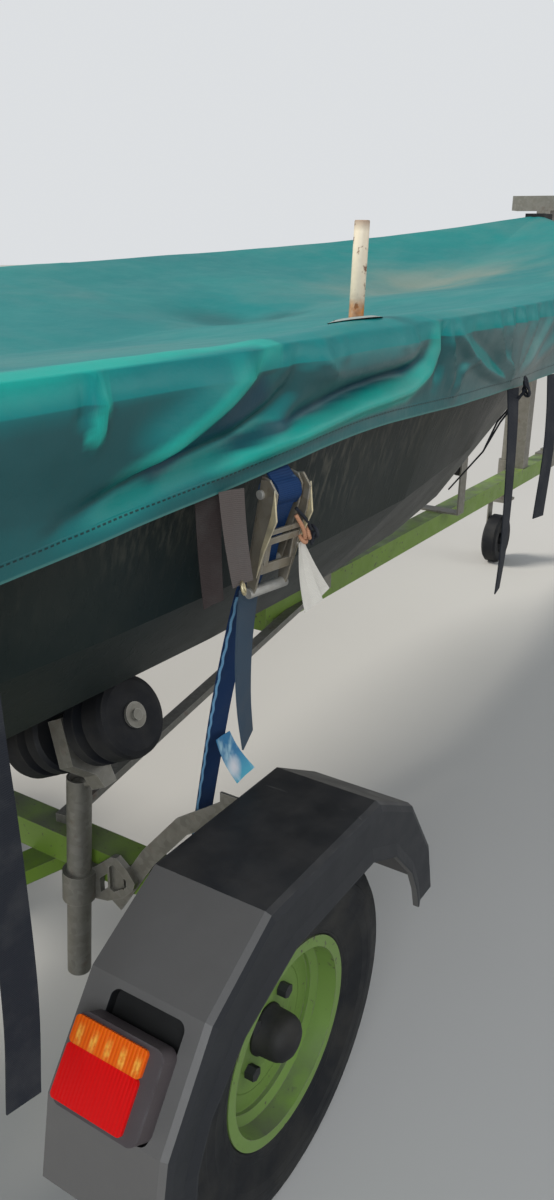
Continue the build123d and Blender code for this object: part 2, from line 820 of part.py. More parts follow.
with BuildPart() as guard_brackets:
    guard_under = max(z for _, z in GUARD_PROFILE) - guard_wall
    foot_y, foot_z = GUARD_BRACKET[-1]
    for side, _ in SIDES:
        edges = [inset(GUARD_BRACKET, wall) for wall in (-guard_bracket_width / 2, guard_bracket_width / 2)]
        strip = outline(Plane.YZ.offset(beam_aft), [(side * y, z) for y, z in edges[0] + edges[1][::-1]])
        extrude(strip, amount=-guard_bracket_wall)
        y0, y1 = sides_of(side, foot_y - guard_bracket_width / 2, guard_inner + guard_bracket_width / 2)
        between((beam_aft - guard_bracket_wall, y0, foot_z - guard_bracket_width / 2),
                (beam_aft, y1, guard_under))
        y0, y1 = sides_of(side, guard_inner, guard_inner + guard_foot_length)
        between((beam_aft - guard_foot_length, y0, guard_under - guard_bracket_wall), (beam_aft, y1, guard_under))
keep(guard_brackets, "mudguard_brackets")

# Tail lamps: a clear-edged housing with an amber lens over a red one
lens_back = lamp_proud - lens_wall
plug_inner = recess_inner + lamp_plug
plug_outer = recess_outer - lamp_plug
for lamp_label, blocks in (
    ("tail_lamp_housings", (
        (lamp_inner, lamp_outer, lamp_top, lamp_bottom, 0, lens_back, lamp_radius),
        (plug_inner, plug_outer, lamp_top + lamp_plug, lamp_bottom - lamp_plug, -recess_depth, 0, lens_radius),
    )),
    ("tail_lamp_amber_lenses", (
        (lamp_inner, lens_outer, lamp_top + lens_border, amber_bottom, lens_back, lamp_proud, lens_radius),
    )),
    ("tail_lamp_red_lenses", (
        (lamp_inner, lens_outer, amber_bottom, lamp_bottom - lens_border, lens_back, lamp_proud, lens_radius),
    )),
):
    with BuildPart() as lamp:
        for side, _ in SIDES:
            for block in blocks:
                on_facet(side, *block)
    keep(lamp, lamp_label)

# Side roller sets: a leaning stem in a clamp on the beam, a slanted spindle on its head, and two rollers
with BuildPart() as roller_stems:
    for side, _ in SIDES:
        rod(stem_point(side, stem_bottom), stem_point(side, stem_top), stem_radius)
        rod(stem_point(side, stem_bottom), stem_point(side, stem_top), stem_bore, mode=Mode.SUBTRACT)
keep(roller_stems, "roller_stems")

with BuildPart() as stem_clamps:
    ear_aft = beam_aft - guard_bracket_wall - running_gap - ear_depth
    ear_plane = Plane.YZ.offset(ear_aft)
    for side, _ in SIDES:
        def on_ear(points):
            return outline(ear_plane, [(side * (stem_y + out), clamp_low + up) for out, up in points])
        extrude(on_ear(EAR_PROFILE), amount=ear_depth)
        extrude(on_ear(EAR_HOLLOW), amount=ear_depth - ear_web, mode=Mode.SUBTRACT)
        for opening in EAR_OPENINGS:
            extrude(on_ear(opening), amount=ear_depth, mode=Mode.SUBTRACT)
        rod(stem_point(side, clamp_low), stem_point(side, clamp_high), clamp_radius)
        rod(stem_point(side, stem_bottom), stem_point(side, stem_top), stem_radius + running_gap,
            mode=Mode.SUBTRACT)
keep(stem_clamps, "stem_clamps")

roller_start = lug_wall / 2 + lug_spacer
roller_end = roller_start + roller_length
with BuildPart() as roller_spindles:
    for side, _ in SIDES:
        lug_plane = Plane(origin=spindle_point(side, 0), x_dir=(1, 0, 0), z_dir=spindle_axis(side))
        lug = outline(lug_plane, [(ahead, -side * up) for ahead, up in LUG_PROFILE])
        extrude(lug, amount=lug_wall / 2, both=True)
        rod(spindle_point(side, -pivot_reach, pivot_up), spindle_point(side, lug_wall / 2, pivot_up), pivot_radius)
        tip = roller_end + running_gap + 2 * washer_wall
        rod(spindle_point(side, -tip), spindle_point(side, tip), spindle_radius)
        rod(spindle_point(side, running_gap - roller_start), spindle_point(side, roller_start - running_gap),
            spacer_radius)
        for end in (roller_end + running_gap, -roller_end - running_gap - washer_wall):
            rod(spindle_point(side, end), spindle_point(side, end + washer_wall), washer_radius)
    add(roller_stems.part, mode=Mode.SUBTRACT)
keep(roller_spindles, "roller_spindles")

for side, name in SIDES:
    for place, sign in (("outer", 1), ("inner", -1)):
        axis = [sign * v for v in spindle_axis(side)]
        groove = roller_start + roller_length * 0.4 - roller_groove / 2
        with BuildPart() as roller:
            turned(spindle_point(side, 0), axis, [
                (roller_start, spindle_radius + running_gap),
                (roller_start, roller_radius - roller_groove / 4),
                (roller_start + roller_groove / 4, roller_radius),
                (groove, roller_radius),
                (groove + roller_groove / 4, roller_waist),
                (groove + roller_groove * 3 / 4, roller_waist),
                (groove + roller_groove, roller_radius),
                (roller_end - roller_groove / 2, roller_radius),
                (roller_end - roller_groove / 8, roller_radius - roller_groove / 8),
                (roller_end, roller_radius - roller_groove / 2),
                (roller_end, spindle_radius + running_gap),
            ])
        keep(roller, f"roller_{name}_{place}")

# Keel rollers on their brackets
with BuildPart() as keel_brackets:
    ear_y = keel_roller_half + keel_ear_gap
    for station in KEEL_ROLLERS:
        x, _, z = keel_roller_centre(station)
        seat = drawbar_high if station > drawbar_start else beam_low
        half = keel_ear_width / 2
        between((x - half, -ear_y - keel_ear_wall, seat), (x + half, ear_y + keel_ear_wall, seat + keel_ear_wall))
        for side, _ in SIDES:
            y0, y1 = sides_of(side, ear_y, ear_y + keel_ear_wall)
            between((x - half, y0, seat), (x + half, y1, z + half / 2))
        rod((x, -ear_y, z), (x, ear_y, z), keel_pin_radius)
keep(keel_brackets, "keel_roller_brackets")

for number, station in enumerate(KEEL_ROLLERS, start=1):
    with BuildPart() as keel_roller:
        turned(keel_roller_centre(station), (0, 1, 0), both_ways([
            (keel_strip_half + keel_ear_gap, keel_roller_waist),
            (keel_roller_half * 0.8, keel_roller_end),
            (keel_roller_half, keel_roller_end),
            (keel_roller_half, keel_pin_radius + running_gap),
        ]))
    keep(keel_roller, f"keel_roller_{number}")

# Winch post with its head, the bow snubber, and the winch
post_x = axle_x + winch_post_from_axle
post_aft = post_x - winch_post_depth / 2
post_fore = post_x + winch_post_depth / 2
with BuildPart() as winch_post:
    between((post_aft, -winch_post_width / 2, drawbar_high), (post_fore, winch_post_width / 2, winch_post_top))
    between((post_aft, -winch_head_width / 2, winch_post_top),
            (post_fore, winch_head_width / 2, winch_post_top + winch_head_height))
keep(winch_post, "winch_post")

with BuildPart() as bow_snubber:
    nose_x = axle_x + HULL[-1].x + cover_end
    between((nose_x, -snubber_half, snubber_low), (post_aft, snubber_half, snubber_high))
keep(bow_snubber, "bow_snubber")

drum_x = post_aft - winch_drum_gap
plate_low = winch_z - winch_drum_gap
plate_high = winch_z + winch_drum_gap
plate_y = winch_drum_half + winch_plate_wall
with BuildPart() as winch_frame:
    between((post_aft - winch_plate_wall, -plate_y, plate_low), (post_aft, plate_y, plate_high))
    for side, _ in SIDES:
        y0, y1 = sides_of(side, winch_drum_half + running_gap, plate_y)
        between((drum_x - winch_drum_gap / 2, y0, plate_low), (post_aft, y1, plate_high))
        rod((drum_x, y0, winch_z), (drum_x, y1, winch_z), spindle_radius + running_gap, mode=Mode.SUBTRACT)
keep(winch_frame, "winch_frame")

with BuildPart() as winch_drum:
    rod((drum_x, -plate_y - winch_plate_wall, winch_z), (drum_x, winch_crank_y, winch_z), spindle_radius)
    rod((drum_x, -winch_drum_half, winch_z), (drum_x, winch_drum_half, winch_z), winch_drum_radius)
keep(winch_drum, "winch_drum")

with BuildPart() as winch_handle:
    between((drum_x - spindle_radius, winch_crank_y, winch_z - winch_crank),
            (drum_x + spindle_radius, winch_crank_y + winch_plate_wall, winch_z + spindle_radius))
    rod((drum_x, winch_crank_y, winch_z - winch_crank + spindle_radius),
        (drum_x, winch_crank_y + winch_grip, winch_z - winch_crank + spindle_radius), spindle_radius * 1.5)
keep(winch_handle, "winch_handle")

eye_x = axle_x + stem_x(bow_eye_z) + bow_eye_wire
with BuildPart() as bow_eye:
    with Locations(Location((eye_x, 0, bow_eye_z), (90, 0, 0))):
        Torus(bow_eye_radius, bow_eye_wire)
    for inner in (hull, keel_strip):
        add(inner.part, mode=Mode.SUBTRACT)
keep(bow_eye, "bow_eye")

with BuildPart() as winch_strap:
    leaving = radians(winch_strap_leaves)
    strap_start = (drum_x - winch_drum_radius * sin(leaving), 0, winch_z - winch_drum_radius * cos(leaving))
    strap_end = (eye_x + bow_eye_radius, 0, bow_eye_z)
    tape(strap_start, strap_end, (0, 1, 0), winch_strap_half * 2, winch_strap_wall)
    add(winch_drum.part, mode=Mode.SUBTRACT)
    add(bow_eye.part, mode=Mode.SUBTRACT)
keep(winch_strap, "winch_strap")

# Coupling head over the drawbar's end, open below for the ball
nose_x = axle_x + nose_reach
ball_x = nose_x - ball_setback
with BuildPart() as coupling_head:
    low_z = coupling_z - coupling_height / 2
    high_z = coupling_z + coupling_height / 2
    wall = guard_wall
    between((nose_x - coupling_length, -coupling_width / 2, low_z), (nose_x, coupling_width / 2, high_z))
    fillet(coupling_head.edges().filter_by(Axis.Z).group_by(Axis.X)[-1], coupling_width * 0.42)
    between((nose_x - coupling_length, -coupling_width / 2 + wall, low_z),
            (nose_x - 3 * ball_radius, coupling_width / 2 - wall, drawbar_high), mode=Mode.SUBTRACT)
    add(drawbar.part, mode=Mode.SUBTRACT)
    with Locations((ball_x, 0, low_z)):
        Cylinder(ball_radius, 2 * ball_depth, mode=Mode.SUBTRACT)
keep(coupling_head, "coupling_head")

with BuildPart() as coupling_handle:
    between((nose_x - coupling_length * 0.8, -drawbar_size / 6, high_z),
            (ball_x, drawbar_size / 6, high_z + drawbar_size / 3))
    between((nose_x - coupling_length, -drawbar_size / 5, high_z + drawbar_size / 6),
            (ball_x, drawbar_size / 5, high_z + drawbar_size / 3))
keep(coupling_handle, "coupling_handle")

# Jockey wheel: the tube slides in its clamp, the fork swivels in the tube, the wheel turns on the fork's pin
jockey_x = axle_x + jockey_from_axle
with BuildPart() as jockey_clamp:
    y0 = drawbar_size / 2
    rod((jockey_x, jockey_y, drawbar_low), (jockey_x, jockey_y, drawbar_high), jockey_clamp_radius)
    between((jockey_x - jockey_outer_radius, y0, drawbar_low),
            (jockey_x + jockey_outer_radius, jockey_y, drawbar_high))
    rod((jockey_x, jockey_y, drawbar_low), (jockey_x, jockey_y, drawbar_high),
        jockey_outer_radius + running_gap, mode=Mode.SUBTRACT)
keep(jockey_clamp, "jockey_clamp")

with BuildPart() as jockey_tube:
    rod((jockey_x, jockey_y, jockey_tube_low), (jockey_x, jockey_y, jockey_tube_high), jockey_outer_radius)
    rod((jockey_x, jockey_y, jockey_tube_low), (jockey_x, jockey_y, jockey_tube_high - jockey_outer_radius),
        jockey_inner_radius + running_gap, mode=Mode.SUBTRACT)
keep(jockey_tube, "jockey_tube")

with BuildPart() as jockey_handle:
    crank_z = jockey_tube_high + jockey_outer_radius
    rod((jockey_x, jockey_y, jockey_tube_high), (jockey_x, jockey_y, crank_z + jockey_pin_radius),
        jockey_pin_radius)
    rod((jockey_x, jockey_y, crank_z), (jockey_x + jockey_crank, jockey_y, crank_z), jockey_pin_radius)
    rod((jockey_x + jockey_crank, jockey_y, crank_z - jockey_pin_radius),
        (jockey_x + jockey_crank, jockey_y, crank_z + jockey_crank * 0.7), jockey_pin_radius * 1.5)
keep(jockey_handle, "jockey_handle")

fork_x = jockey_x - jockey_trail
crown_low = jockey_wheel_radius * 2 + 4 * jockey_fork_wall + jockey_crown_gap
with BuildPart() as jockey_fork:
    leg_inner = jockey_wheel_half + jockey_fork_wall
    leg_outer = leg_inner + jockey_fork_wall
    between((fork_x - jockey_outer_radius, jockey_y - leg_outer, crown_low),
            (jockey_x + jockey_outer_radius, jockey_y + leg_outer, crown_low + 2 * jockey_fork_wall))
    for side, _ in SIDES:
        y0, y1 = sides_of(side, leg_inner, leg_outer)
        between((fork_x - jockey_outer_radius, jockey_y + y0, jockey_wheel_radius - 2 * jockey_pin_radius),
                (fork_x + jockey_outer_radius, jockey_y + y1, crown_low))
    rod((fork_x, jockey_y - leg_outer, jockey_wheel_radius), (fork_x, jockey_y + leg_outer, jockey_wheel_radius),
        jockey_pin_radius)
    rod((jockey_x, jockey_y, crown_low), (jockey_x, jockey_y, jockey_tube_low + jockey_stem_reach),
        jockey_inner_radius)
keep(jockey_fork, "jockey_fork")

with BuildPart() as jockey_wheel:
    turned((fork_x, jockey_y, jockey_wheel_radius), (0, 1, 0), both_ways([
        (jockey_wheel_half * 0.7, jockey_wheel_radius),
        (jockey_wheel_half, jockey_wheel_radius * 0.9),
        (jockey_wheel_half, jockey_wheel_radius * 0.62),
        (jockey_wheel_half * 0.4, jockey_wheel_radius * 0.55),
        (jockey_wheel_half * 0.4, jockey_pin_radius * 3),
        (jockey_wheel_half, jockey_pin_radius * 3),
        (jockey_wheel_half, jockey_pin_radius + running_gap),
    ]))
keep(jockey_wheel, "jockey_wheel")

# Tie-down straps with their ratchets and hooks, and the cover's hanging tails
with BuildPart() as straps:
    for side, _ in SIDES:
        tape(tie_point(side, 0), tie_point(side, 1), (1, 0, 0), strap_width, strap_wall)
        across_strap(side, spool_run, spool_out, strap_width / 2 - running_gap, spool_radius)
        across_strap(side, spool_run, spool_out, strap_width / 2, spool_pin_radius + running_gap, Mode.SUBTRACT)
    for inner in (hull, cover, strakes):
        add(inner.part, mode=Mode.SUBTRACT)
keep(straps, "tie_down_straps")

with BuildPart() as ratchets:
    plate_start = strap_width / 2 + ratchet_gap
    for side, _ in SIDES:
        for end in (-1, 1):
            for plate, start in ((FRAME_PLATE, plate_start), (HANDLE_PLATE, plate_start + ratchet_plate)):
                across = end * (start + ratchet_plate / 2)
                profile = outline(strap_side_plane(side, across), [(run, out) for run, out in plate])
                extrude(profile, amount=ratchet_plate / 2, both=True)
        across_strap(side, spool_run, spool_out, plate_start + 3 * ratchet_plate, spool_pin_radius)
        for run, out, past in CROSS_BARS:
            across_strap(side, run, out, plate_start + past, ratchet_bar_radius)
        for (low, high, half), mode in zip(SLIDER, (Mode.ADD, Mode.SUBTRACT)):
            start = strap_point(side, low, slider_out)
            tape(start, strap_point(side, high, slider_out), (1, 0, 0), half * 2, ratchet_plate, mode)
keep(ratchets, "strap_ratchets")

with BuildPart() as strap_hooks:
    for side, _ in SIDES:
        x, y, z = tie_point(side, 1)
        y0, y1 = sides_of(side, abs(y) - hook_width / 2, abs(y) + hook_width / 2)
        between((beam_fore, y0, beam_low - hook_wall), (beam_fore + hook_wall, y1, z))
        between((beam_fore - hook_wall * 2, y0, beam_low - hook_wall), (beam_fore, y1, beam_low))
        between((beam_fore, y0, z - hook_wall), (x + strap_width / 2, y1, z))
    add(straps.part, mode=Mode.SUBTRACT)
keep(strap_hooks, "strap_hooks")

for number, (from_axle, length) in enumerate(TIE_TAILS, start=1):
    hem_z = hull_at(from_axle, "gunwale_z") + cover_wall - hull_at(from_axle, "skirt")
    hem_y = hull_at(from_axle, "gunwale_y") + strake_width + cover_wall - skirt_tuck - tail_inset
    tail_x = axle_x + from_axle
    with BuildPart() as tail:
        between((tail_x - tail_width / 2, -hem_y, hem_z - length),
                (tail_x + tail_width / 2, tail_wall - hem_y, hem_z))
        add(cover.part, mode=Mode.SUBTRACT)
    keep(tail, f"cover_tie_{number}")
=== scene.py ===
"""Looks for the covered dinghy on its trailer. Metres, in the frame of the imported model."""

import json
import math

import bmesh
import bpy
import numpy as np
from mathutils import Matrix, Vector, noise


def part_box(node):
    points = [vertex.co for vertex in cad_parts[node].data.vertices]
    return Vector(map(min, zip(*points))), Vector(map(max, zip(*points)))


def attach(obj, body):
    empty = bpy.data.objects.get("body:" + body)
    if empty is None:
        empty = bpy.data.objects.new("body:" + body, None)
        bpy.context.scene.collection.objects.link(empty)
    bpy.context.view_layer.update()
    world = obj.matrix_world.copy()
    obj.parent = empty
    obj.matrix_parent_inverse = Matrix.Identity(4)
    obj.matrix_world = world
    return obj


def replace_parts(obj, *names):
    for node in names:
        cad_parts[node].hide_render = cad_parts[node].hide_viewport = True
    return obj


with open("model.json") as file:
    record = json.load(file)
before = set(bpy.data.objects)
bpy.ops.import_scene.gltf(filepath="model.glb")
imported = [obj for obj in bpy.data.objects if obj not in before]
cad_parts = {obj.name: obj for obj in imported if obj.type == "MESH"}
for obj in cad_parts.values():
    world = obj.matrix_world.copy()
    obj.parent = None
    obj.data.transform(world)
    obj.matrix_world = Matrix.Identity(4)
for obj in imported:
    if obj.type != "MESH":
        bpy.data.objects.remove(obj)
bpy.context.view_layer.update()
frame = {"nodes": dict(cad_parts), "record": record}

# Where the wheels' axis is, and the camera that the photograph was taken with
AXLE_X = -0.953
WHEEL_HEIGHT = 0.25
CAMERA_PLACE = (AXLE_X - 0.8623, -1.1907, 1.2523)
CAMERA_YAW = 0.55731
CAMERA_PITCH = 0.35548
CAMERA_ROLL = 0.01717
CAMERA_FOCAL = 956.85
LONG_SIDE = 1200.0


def new_object(name, data):
    made = bpy.data.objects.new(name, data)
    bpy.context.collection.objects.link(made)
    return made


def make_camera():
    forward = Vector((
        math.cos(CAMERA_YAW) * math.cos(CAMERA_PITCH),
        math.sin(CAMERA_YAW) * math.cos(CAMERA_PITCH),
        -math.sin(CAMERA_PITCH),
    ))
    level = Vector((math.sin(CAMERA_YAW), -math.cos(CAMERA_YAW), 0))
    upward = level.cross(forward)
    right = level * math.cos(CAMERA_ROLL) + upward * math.sin(CAMERA_ROLL)
    up = upward * math.cos(CAMERA_ROLL) - level * math.sin(CAMERA_ROLL)
    camera = new_object("camera", bpy.data.cameras.new("camera"))
    turn = Matrix((right, up, -forward)).transposed().to_4x4()
    camera.matrix_world = Matrix.Translation(CAMERA_PLACE) @ turn
    camera.data.sensor_width = 36.0
    camera.data.lens = CAMERA_FOCAL * camera.data.sensor_width / LONG_SIDE
    camera.data.clip_start = 0.05
    camera.data.clip_end = 200
    bpy.context.scene.camera = camera


make_camera()


# ---- materials


class Paint:
    """A node material with a principled shader, wired by short calls."""

    def __init__(self, name, colour, rough=0.5, metal=0.0, **inputs):
        self.material = bpy.data.materials.new(name)
        self.material.use_nodes = True
        self.tree = self.material.node_tree
        self.tree.nodes.clear()
        self.shader = self.add("ShaderNodeBsdfPrincipled")
        output = self.add("ShaderNodeOutputMaterial")
        self.tree.links.new(self.shader.outputs[0], output.inputs[0])
        self.geometry = self.add("ShaderNodeNewGeometry")
        self.coords = self.add("ShaderNodeTexCoord").outputs["Object"]
        self.colour = colour
        self.rough = rough
        self.metal = metal
        self.height = None
        self.put(self.shader, {key.replace("_", " "): value for key, value in inputs.items()})

    def add(self, kind, sockets=(), **props):
        made = self.tree.nodes.new(kind)
        for key, value in props.items():
            setattr(made, key, value)
        self.put(made, dict(sockets))
        return made

    def put(self, node, sockets):
        """Links sockets to a node's inputs, and sets those that are given as values."""
        for key, value in sockets.items():
            socket = node.inputs[key]
            if isinstance(value, bpy.types.NodeSocket):
                self.tree.links.new(value, socket)
            else:
                colour = socket.type == "RGBA" and isinstance(value, tuple)
                socket.default_value = (*value, 1) if colour else value

    def math(self, operation, a, b=0.0):
        return self.add("ShaderNodeMath", {0: a, 1: b}, operation=operation).outputs[0]

    def part(self, socket, axis):
        return self.add("ShaderNodeSeparateXYZ", {0: socket}).outputs[axis]

    def along(self, axis):
        return self.part(self.coords, axis)

    def facing(self, axis):
        return self.part(self.geometry.outputs["Normal"], axis)

    def product(self, value, *factors):
        for factor in factors:
            value = self.math("MULTIPLY", value, factor)
        return value

    def weighed(self, a, times_a, b, times_b):
        """Two values, each multiplied, and added."""
        return self.math("ADD", self.math("MULTIPLY", a, times_a), self.math("MULTIPLY", b, times_b))

    def placed(self, scale=(1, 1, 1), turn=(0, 0, 0), shift=(0, 0, 0)):
        return self.add("ShaderNodeMapping", {0: self.coords, 1: shift, 2: turn, 3: scale}).outputs[0]

    def ramp(self, value, low, high):
        """0 up to the low value and 1 from the high one. Low may be the larger."""
        return self.add("ShaderNodeMapRange", {0: value, 1: low, 2: high}, clamp=True).outputs[0]

    def between(self, value, low, inner_low, inner_high, high):
        """1 between the two inner edges, fading to 0 at the outer ones."""
        return self.product(self.ramp(value, low, inner_low), self.ramp(value, high, inner_high))

    def cloud(self, scale, low=0.35, high=0.65, detail=4.0, coords=None, bend=0.0):
        sockets = {"Vector": coords or self.coords, "Scale": scale, "Detail": detail, "Roughness": 0.55}
        made = self.add("ShaderNodeTexNoise", {**sockets, "Distortion": bend})
        return self.ramp(made.outputs[0], low, high)

    def waves(self, scale, direction="X", coords=None, bend=0.0):
        sockets = {"Vector": coords or self.coords, "Scale": scale, "Distortion": bend}
        return self.add("ShaderNodeTexWave", sockets, bands_direction=direction).outputs[0]

    def blend(self, factor, a, b):
        return self.add("ShaderNodeMix", {0: factor, 6: a, 7: b}, data_type="RGBA").outputs[2]

    def tint(self, colour, *factors):
        """Lays another colour over, where the factors multiply to 1."""
        self.colour = self.blend(self.product(*factors), self.colour, colour)

    def smooth(self, factor, rough):
        """Another roughness where the factor is 1."""
        self.rough = self.weighed(self.math("SUBTRACT", 1.0, factor), self.rough, factor, rough)

    def raise_by(self, amount, *factors):
        """Adds to the bump's height, in metres."""
        more = self.product(*factors, amount)
        self.height = more if self.height is None else self.math("ADD", self.height, more)

    def grain(self, height, scale):
        self.raise_by(height, self.cloud(scale, 0.3, 0.7))

    def patch(self, scale, rough, detail=4.0):
        """Another roughness in patches."""
        self.smooth(self.cloud(scale, 0.3, 0.8, detail), rough)

    def edges(self, radius, low=0.02, high=0.25):
        """1 along edges, by how far a rounded normal leaves the real one."""
        rounded = self.add("ShaderNodeBevel", {0: radius}, samples=4).outputs[0]
        normals = {0: rounded, 1: self.geometry.outputs["Normal"]}
        turned = self.add("ShaderNodeVectorMath", normals, operation="DOT_PRODUCT").outputs["Value"]
        return self.ramp(self.math("SUBTRACT", 1.0, turned), low, high)

    def spot(self, centre, radius):
        """1 at a point given from the axle, fading to 0 at the radius."""
        shifted = self.placed(shift=(-AXLE_X - centre[0], -centre[1], -centre[2]))
        away = self.add("ShaderNodeVectorMath", {0: shifted}, operation="LENGTH").outputs["Value"]
        return self.ramp(away, radius, radius * 0.3)

    def ahead_and_above(self, x=0.0, z=WHEEL_HEIGHT):
        """How far a point is ahead of a place given from the axle, and above a height."""
        return self.math("SUBTRACT", self.along(0), AXLE_X + x), self.math("SUBTRACT", self.along(2), z)

    def wheel_radius(self):
        """How far a point is from the axle's line."""
        x, z = self.ahead_and_above()
        return self.math("SQRT", self.weighed(x, x, z, z))

    def upward(self, low=0.3, high=0.8):
        """1 on faces that look up."""
        return self.ramp(self.facing(2), low, high)

    def done(self, bump=1.0):
        self.put(self.shader, {"Base Color": self.colour, "Roughness": self.rough, "Metallic": self.metal})
        if self.height is not None:
            bumped = self.add("ShaderNodeBump", {"Strength": bump, "Distance": 1.0, "Height": self.height})
            self.tree.links.new(bumped.outputs[0], self.shader.inputs["Normal"])
        return self.material


def gelcoat():
    p = Paint("hull_gelcoat", (0.0015, 0.0085, 0.0095), 0.46,
              Coat_Weight=0.06, Coat_Roughness=0.3, Specular_IOR_Level=0.2)
    along, height = p.along(0), p.along(2)
    p.tint((0.006, 0.014, 0.012), p.cloud(1.3, 0.4, 0.7))
    # painted reflection: the glossy side is paler and greyer towards the bow, as if the bright ground shows
    # in it
    p.tint((0.036, 0.036, 0.028), p.ramp(along, -1.0, 0.0), 0.6)
    scuffs = p.cloud(9, 0.48, 0.72, 8, coords=p.placed((14, 14, 0.5)))
    band = p.product(p.ramp(height, 0.9, 1.0), scuffs, p.cloud(2.2, 0.4, 0.65))
    p.tint((0.16, 0.15, 0.115), band, 0.65)
    marks = p.cloud(26, 0.56, 0.66, 6, coords=p.placed((5, 5, 0.35)))
    p.tint((0.02, 0.022, 0.016), marks, p.ramp(height, 0.96, 1.02), p.ramp(along, -1.05, -0.85), 0.4)
    p.tint((0.07, 0.066, 0.05), p.cloud(6, 0.4, 0.8, 10), 0.22)
    p.patch(12, 0.6, 8)
    p.raise_by(0.003, p.cloud(5, 0.0, 1.0, 2))
    p.raise_by(0.0008, marks)
    p.grain(0.00005, 700)
    return p.done(0.5)


def tarpaulin():
    p = Paint("cover_tarpaulin", (0.0, 0.17, 0.17), 0.4, Specular_IOR_Level=0.3)
    p.tint((0.0, 0.2, 0.19), p.cloud(2.4, 0.35, 0.7))
    p.tint((0.0, 0.12, 0.14), p.cloud(1.1, 0.5, 0.75, bend=0.4), 0.5)
    # the skirt, with its height over the hem, is darker where it turns away from the sky
    above = p.part(p.add("ShaderNodeUVMap", uv_map="cloth").outputs[0], 1)
    on_skirt = p.ramp(above, 0.19, 0.14)
    steep = p.ramp(p.facing(2), 0.42, -0.1)
    deep = p.blend(p.cloud(3.1, 0.42, 0.6), (0.003, 0.042, 0.048), (0.012, 0.062, 0.07))
    p.tint(deep, on_skirt, steep, 0.9)
    # painted sunlight: the parts of the skirt that face up are brighter turquoise
    p.tint((0.002, 0.2, 0.165), on_skirt, p.upward(0.2, 0.6), 0.55)
    # painted shade in the troughs of the folds, and painted sunlight on their crests
    lit = p.add("ShaderNodeAttribute", attribute_name="crests").outputs["Fac"]
    shade = p.add("ShaderNodeAttribute", attribute_name="troughs").outputs["Fac"]
    p.tint((0.0, 0.028, 0.055), shade, 0.75)
    p.tint((0.004, 0.33, 0.27), lit, p.cloud(7.0, 0.05, 0.55, 6), 0.9)
    # greyer in patches on the steep skirt towards the bow
    greyer_skirt = p.product(on_skirt, steep, p.ramp(p.along(0), -0.72, -0.3), p.cloud(6.0, 0.25, 0.6, 6))
    p.tint((0.135, 0.175, 0.172), greyer_skirt, 0.6)
    # painted shade and a damp stain in the hollows where the cloth sags
    for centre, wide in (((0.96, 0.12, 1.105), 0.11), ((1.05, 0.0, 1.1), 0.08)):
        p.tint((0.0, 0.07, 0.075), p.spot(centre, wide), 0.55)
    p.tint((0.27, 0.25, 0.19), p.spot((1.75, -0.1, 1.19), 0.45), p.cloud(2.4, 0.4, 0.62, 6), 0.6)
    aft = p.ramp(p.along(0), -1.05, -0.75)
    p.tint((0.17, 0.2, 0.19), p.cloud(5.0, 0.45, 0.7, 9), on_skirt, aft, 0.6)
    p.tint((0.2, 0.24, 0.22), p.upward(0.55, 0.95), p.cloud(2.2, 0.5, 0.72, 9), 0.24)
    # the hem is folded double and sewn along its upper edge
    hem = p.ramp(above, 0.0165, 0.0155)
    seam = p.product(p.between(above, 0.0128, 0.0132, 0.0144, 0.0148), p.ramp(p.waves(50.0), 0.3, 0.4))
    p.tint((0.002, 0.012, 0.014), seam, 0.85)
    p.tint((0.05, 0.16, 0.145), p.ramp(above, 0.003, 0.0015), 0.7)
    p.raise_by(0.0007, hem)
    p.raise_by(-0.0006, seam)
    p.smooth(p.cloud(15, 0.35, 0.75, 8), 0.52)
    for turn in (0.25, 0.25 + math.pi / 2):
        p.raise_by(0.00004, p.waves(260.0, coords=p.placed((1, 1, 1), (0, 0, turn)), bend=0.3))
    p.raise_by(0.001, p.cloud(38, 0.2, 0.8, 6))
    p.raise_by(0.004, p.cloud(9, 0.2, 0.8, 3))
    return p.done(0.6)


def lime(name, base, fade, steps=()):
    p = Paint(name, base, 0.42)
    p.tint(fade, p.cloud(7, 0.4, 0.75, 8), 0.35)
    chips = p.cloud(90, 0.63, 0.66, 6)
    p.tint((0.07, 0.06, 0.045), chips, p.cloud(9, 0.4, 0.6))
    p.tint((0.16, 0.15, 0.12), p.edges(0.003), p.cloud(60, 0.4, 0.6))
    p.tint((0.09, 0.09, 0.075), p.upward(0.5, 0.9), p.cloud(14, 0.3, 0.7, 8), 0.85)
    p.patch(25, 0.65, 8)
    p.raise_by(-0.0001, chips)
    p.grain(0.00008, 260)
    if steps:
        away = p.wheel_radius()
        for radius, height in steps:
            p.raise_by(height, p.ramp(away, radius - 0.0012, radius + 0.0012))
    return p.done(0.6)


def zinc(name="galvanised", base=(0.22, 0.21, 0.18), rust=0.25):
    p = Paint(name, base, 0.48, 0.75)
    crystals = p.add("ShaderNodeTexVoronoi", {"Vector": p.coords, "Scale": 120.0}).outputs["Color"]
    p.tint((0.36, 0.35, 0.32), p.part(crystals, 0), 0.35)
    p.tint((0.2, 0.185, 0.155), p.cloud(30, 0.45, 0.75, 8), 0.6)
    p.tint((0.16, 0.055, 0.02), p.cloud(40, 0.6, 0.72, 8), rust)
    p.tint((0.55, 0.54, 0.5), p.edges(0.002), 0.5)
    p.patch(50, 0.68)
    p.grain(0.0001, 300)
    return p.done(0.6)


# The lamp's recess in the mudguard: a point on its slope, forward of the axle and over the floor, and how
# the slope runs
RECESS_PLACE = (-0.249, 0.508)
RECESS_RUN = (0.823, -0.568)


